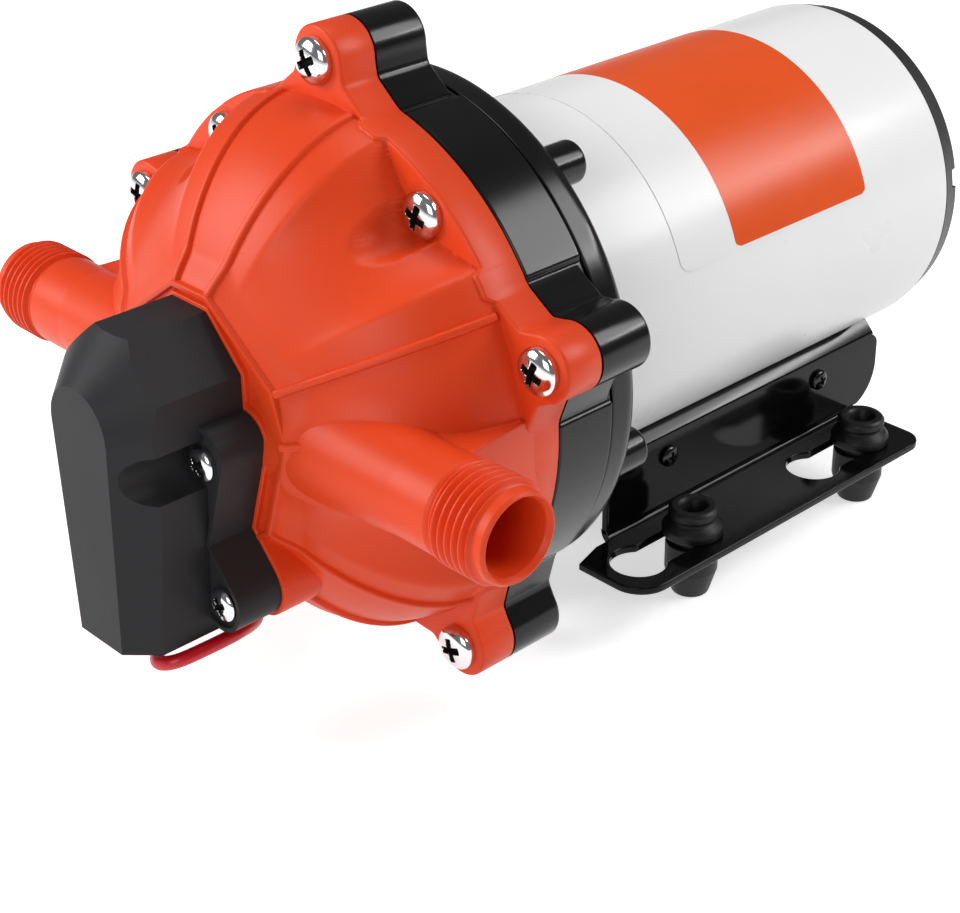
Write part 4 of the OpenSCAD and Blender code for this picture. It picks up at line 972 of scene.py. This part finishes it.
def foot(x, y):
    """A rubber foot: a tapered stem, a neck in the flange's slot, and a ringed collar above it."""
    hole, tip, stem, neck, collar = 2.75, 4.4, 6.3, 4.7, 7.2
    under, top = FLANGE_H - SHEET_T, FLANGE_H
    profile = [(hole, 1.0), (hole + 0.7, 0.0), (tip, 0.0), (stem, 6.5), (stem, under), (neck, under),
               (neck, top), (collar, top), (collar, top + 2.2), (collar - 0.8, top + 3.2),
               (collar - 2.0, top + 4.0), (collar - 1.4, top + 5.0), (collar - 1.3, top + 6.5),
               (collar - 2.1, top + 7.3), (hole + 0.9, top + 7.3), (hole, top + 6.4)]
    rounds = [0, 0.3, 0.6, 1.2, 0.5, 0.2, 0.2, 0.5, 0.9, 0.8, 0.7, 0.8, 0.9, 0.7, 0.6, 0]
    return lathe(fillet(profile, rounds, 4), "z", FOOT_SIDES, (x, y, -AXIS_H), closed=True)


for fb, y in zip(("front", "rear"), FOOT_YS):
    for lr, side in (("left", -1), ("right", 1)):
        name = f"foot_{fb}_{lr}"
        piece("rubber_" + name, [foot(side * FOOT_X, y)], foot_rubber, [name], angle=45)


# Switch


soften("switch_housing", width=0.75, segments=4, angle=28)


# The red lead, on the route that the CAD part gives it


EXIT_Y = -SEAT - 14.5
LOOP_Z = SWITCH_BOTTOM - 3.6
LEAD_X, LEAD_R = -8.0, 1.5
LEAD_UNDER = -HEAD_R - LEAD_R - 0.05
LEAD_CAN_Y = HOUSING_D + 10
lead_route = np.array([
    # out of the switch, and the loop under it that the photograph shows
    (2, EXIT_Y, LOOP_Z + 10.5), (2, EXIT_Y, LOOP_Z + 6.5), (2, EXIT_Y, LOOP_Z + 2.5),
    (2.6, EXIT_Y - 1, LOOP_Z - 0.2), (4.8, EXIT_Y - 3.4, LOOP_Z - 1.6),
    (8.8, EXIT_Y - 5.6, LOOP_Z - 0.8), (12.6, EXIT_Y - 4, LOOP_Z + 0.7),
    (14.2, EXIT_Y + 1.8, LOOP_Z + 1.6), (13.6, EXIT_Y + 10, LOOP_Z + 1.2),
    # under the cover and the drive housing
    (8, -39, 11.2 - HEAD_R), (0, -32.5, 8.3 - HEAD_R), (-5.5, -26.5, 4.4 - HEAD_R),
    (LEAD_X, -17.5, LEAD_UNDER + 2), (LEAD_X, -8, LEAD_UNDER), (LEAD_X, 6, LEAD_UNDER),
    # up into the can
    (LEAD_X, HOUSING_D - 1, LEAD_UNDER), (LEAD_X, LEAD_CAN_Y - 2.5, LEAD_UNDER + 4.5),
    (LEAD_X, LEAD_CAN_Y, -CAN_R - 7), (LEAD_X, LEAD_CAN_Y, -CAN_R - 3),
    (LEAD_X, LEAD_CAN_Y, -CAN_R + 0.5), (LEAD_X, LEAD_CAN_Y, -CAN_R + 4)])


def catmull(points, steps):
    """A smooth curve through every point."""
    p = np.vstack([points[:1], points, points[-1:]])
    out = []
    for i in range(1, len(p) - 2):
        a, b, c, d = p[i - 1], p[i], p[i + 1], p[i + 2]
        for k in range(steps):
            t = k / steps
            out.append(0.5 * (2 * b + (c - a) * t + (2 * a - 5 * b + 4 * c - d) * t * t
                              + (3 * b - a - 3 * c + d) * t ** 3))
    out.append(points[-1])
    return np.array(out)


def tube(path, radius, n=20):
    """A round cord along a path, its rings carried on without twist."""
    d = np.gradient(path, axis=0)
    d /= np.linalg.norm(d, axis=1, keepdims=True)
    side = np.cross(d[0], (0, 1, 0))
    side /= np.linalg.norm(side)
    t = round_steps(n)
    rows = []
    for p, direction in zip(path, d):
        side = side - direction * (side @ direction)
        side /= np.linalg.norm(side)
        other = np.cross(direction, side)
        rows.append(p + radius * (np.cos(t)[:, None] * side + np.sin(t)[:, None] * other))
    return skin(rows)


lead_path = catmull(lead_route, 10)
lead = piece("red_lead", [tube(lead_path, LEAD_R)], lead_red, ["switch_lead"])
lead_points = to_frame(lead_path)


# Camera at the photograph's viewpoint, in metres


CAMERA_RIGHT, CAMERA_UP = (0.6976, 0.7165, -0.0028), (-0.3384, 0.3329, 0.8802)
CAMERA_BACK, CAMERA_AT = (0.6316, -0.6130, 0.4747), (0.307852, -0.35690, 0.271847)


def stand(x, y, z, at):
    """The matrix of an object with these axes at a point."""
    return Matrix([(*row, p) for row, p in zip(zip(x, y, z), at)] + [(0, 0, 0, 1)])


camera_data = bpy.data.cameras.new("photo_camera")
camera = bpy.data.objects.new("photo_camera", camera_data)
scene.collection.objects.link(camera)
camera.matrix_world = stand(CAMERA_RIGHT, CAMERA_UP, CAMERA_BACK, CAMERA_AT)
camera_data.sensor_fit = "HORIZONTAL"
camera_data.sensor_width = 36
camera_data.lens = 79.10
camera_data.shift_x = -0.0336
camera_data.shift_y = -0.0302
camera_data.clip_start = 0.01
scene.camera = camera


# Lamps, floor and world, in metres


MIDDLE = (0.0, -0.05, 0.075)
FLOOR_HALF, FLOOR_GRAIN, FLOOR_GREYS, FLOOR_GLOW = 4, 12, (0.86, 0.88), 0.58
WORLD_LIGHT = 0.18


def lamp(name, place, size, watts, size_y=None):
    """A soft rectangular lamp that looks at the middle of the pump."""
    data = bpy.data.lights.new(name, "AREA")
    data.shape = "RECTANGLE"
    data.size, data.size_y = size, size_y or size
    data.energy = watts
    obj = bpy.data.objects.new(name, data)
    scene.collection.objects.link(obj)
    z = np.array(place) - np.array(MIDDLE)
    z /= np.linalg.norm(z)
    x = np.cross((0, 0, 1), z)
    x /= np.linalg.norm(x)
    obj.matrix_world = stand(x, np.cross(z, x), z, place)


def floor_material():
    """Matt white, and bright of itself on camera, glossy and transmission rays."""
    m, new, link = blank_material("floor_white")
    out, both = new("ShaderNodeOutputMaterial"), new("ShaderNodeAddShader")
    lit, own = new("ShaderNodeBsdfDiffuse"), new("ShaderNodeEmission")
    noise, ramp = new("ShaderNodeTexNoise"), new("ShaderNodeValToRGB")
    noise.inputs["Scale"].default_value = FLOOR_GRAIN
    for element, grey in zip(ramp.color_ramp.elements, FLOOR_GREYS):
        element.color = (grey, grey, grey, 1)
    link(noise.outputs["Fac"], ramp.inputs["Fac"])
    link(ramp.outputs["Color"], lit.inputs["Color"])
    rays = new("ShaderNodeLightPath")
    seen, through, level = (new("ShaderNodeMath") for _ in range(3))
    seen.operation = through.operation = "MAXIMUM"
    level.operation = "MULTIPLY"
    level.inputs[1].default_value = FLOOR_GLOW
    link(rays.outputs["Is Camera Ray"], seen.inputs[0])
    link(rays.outputs["Is Glossy Ray"], seen.inputs[1])
    link(seen.outputs["Value"], through.inputs[0])
    link(rays.outputs["Is Transmission Ray"], through.inputs[1])
    link(through.outputs["Value"], level.inputs[0])
    link(level.outputs["Value"], own.inputs["Strength"])
    link(lit.outputs["BSDF"], both.inputs[0])
    link(own.outputs["Emission"], both.inputs[1])
    link(both.outputs["Shader"], out.inputs["Surface"])
    return m


lamp("key", (-0.52, -0.66, 0.46), 0.46, 4.8)
lamp("back", (0.47, 0.46, 0.58), 0.36, 3.0)
lamp("glint", (0.48, 0.60, 0.45), 0.36, 0.9, 0.03)
lamp("front", (0.30, -0.80, 0.40), 0.4, 2.0)
lamp("over", (-0.1, 0.1, 0.95), 0.4, 2.0)

floor_mesh = bpy.data.meshes.new("floor")
floor_corners = [(FLOOR_HALF * x, FLOOR_HALF * y, 0) for x, y in ((-1, -1), (1, -1), (1, 1), (-1, 1))]
floor_mesh.from_pydata(floor_corners, [], [(0, 1, 2, 3)])
floor_mesh.materials.append(floor_material())
floor = bpy.data.objects.new("floor", floor_mesh)
scene.collection.objects.link(floor)

world = bpy.data.worlds.new("studio")
scene.world = world
world.use_nodes = True
fill = world.node_tree.nodes["Background"]
fill.inputs["Color"].default_value = (1, 1, 1, 1)
fill.inputs["Strength"].default_value = WORLD_LIGHT

scene.view_settings.view_transform = "Standard"
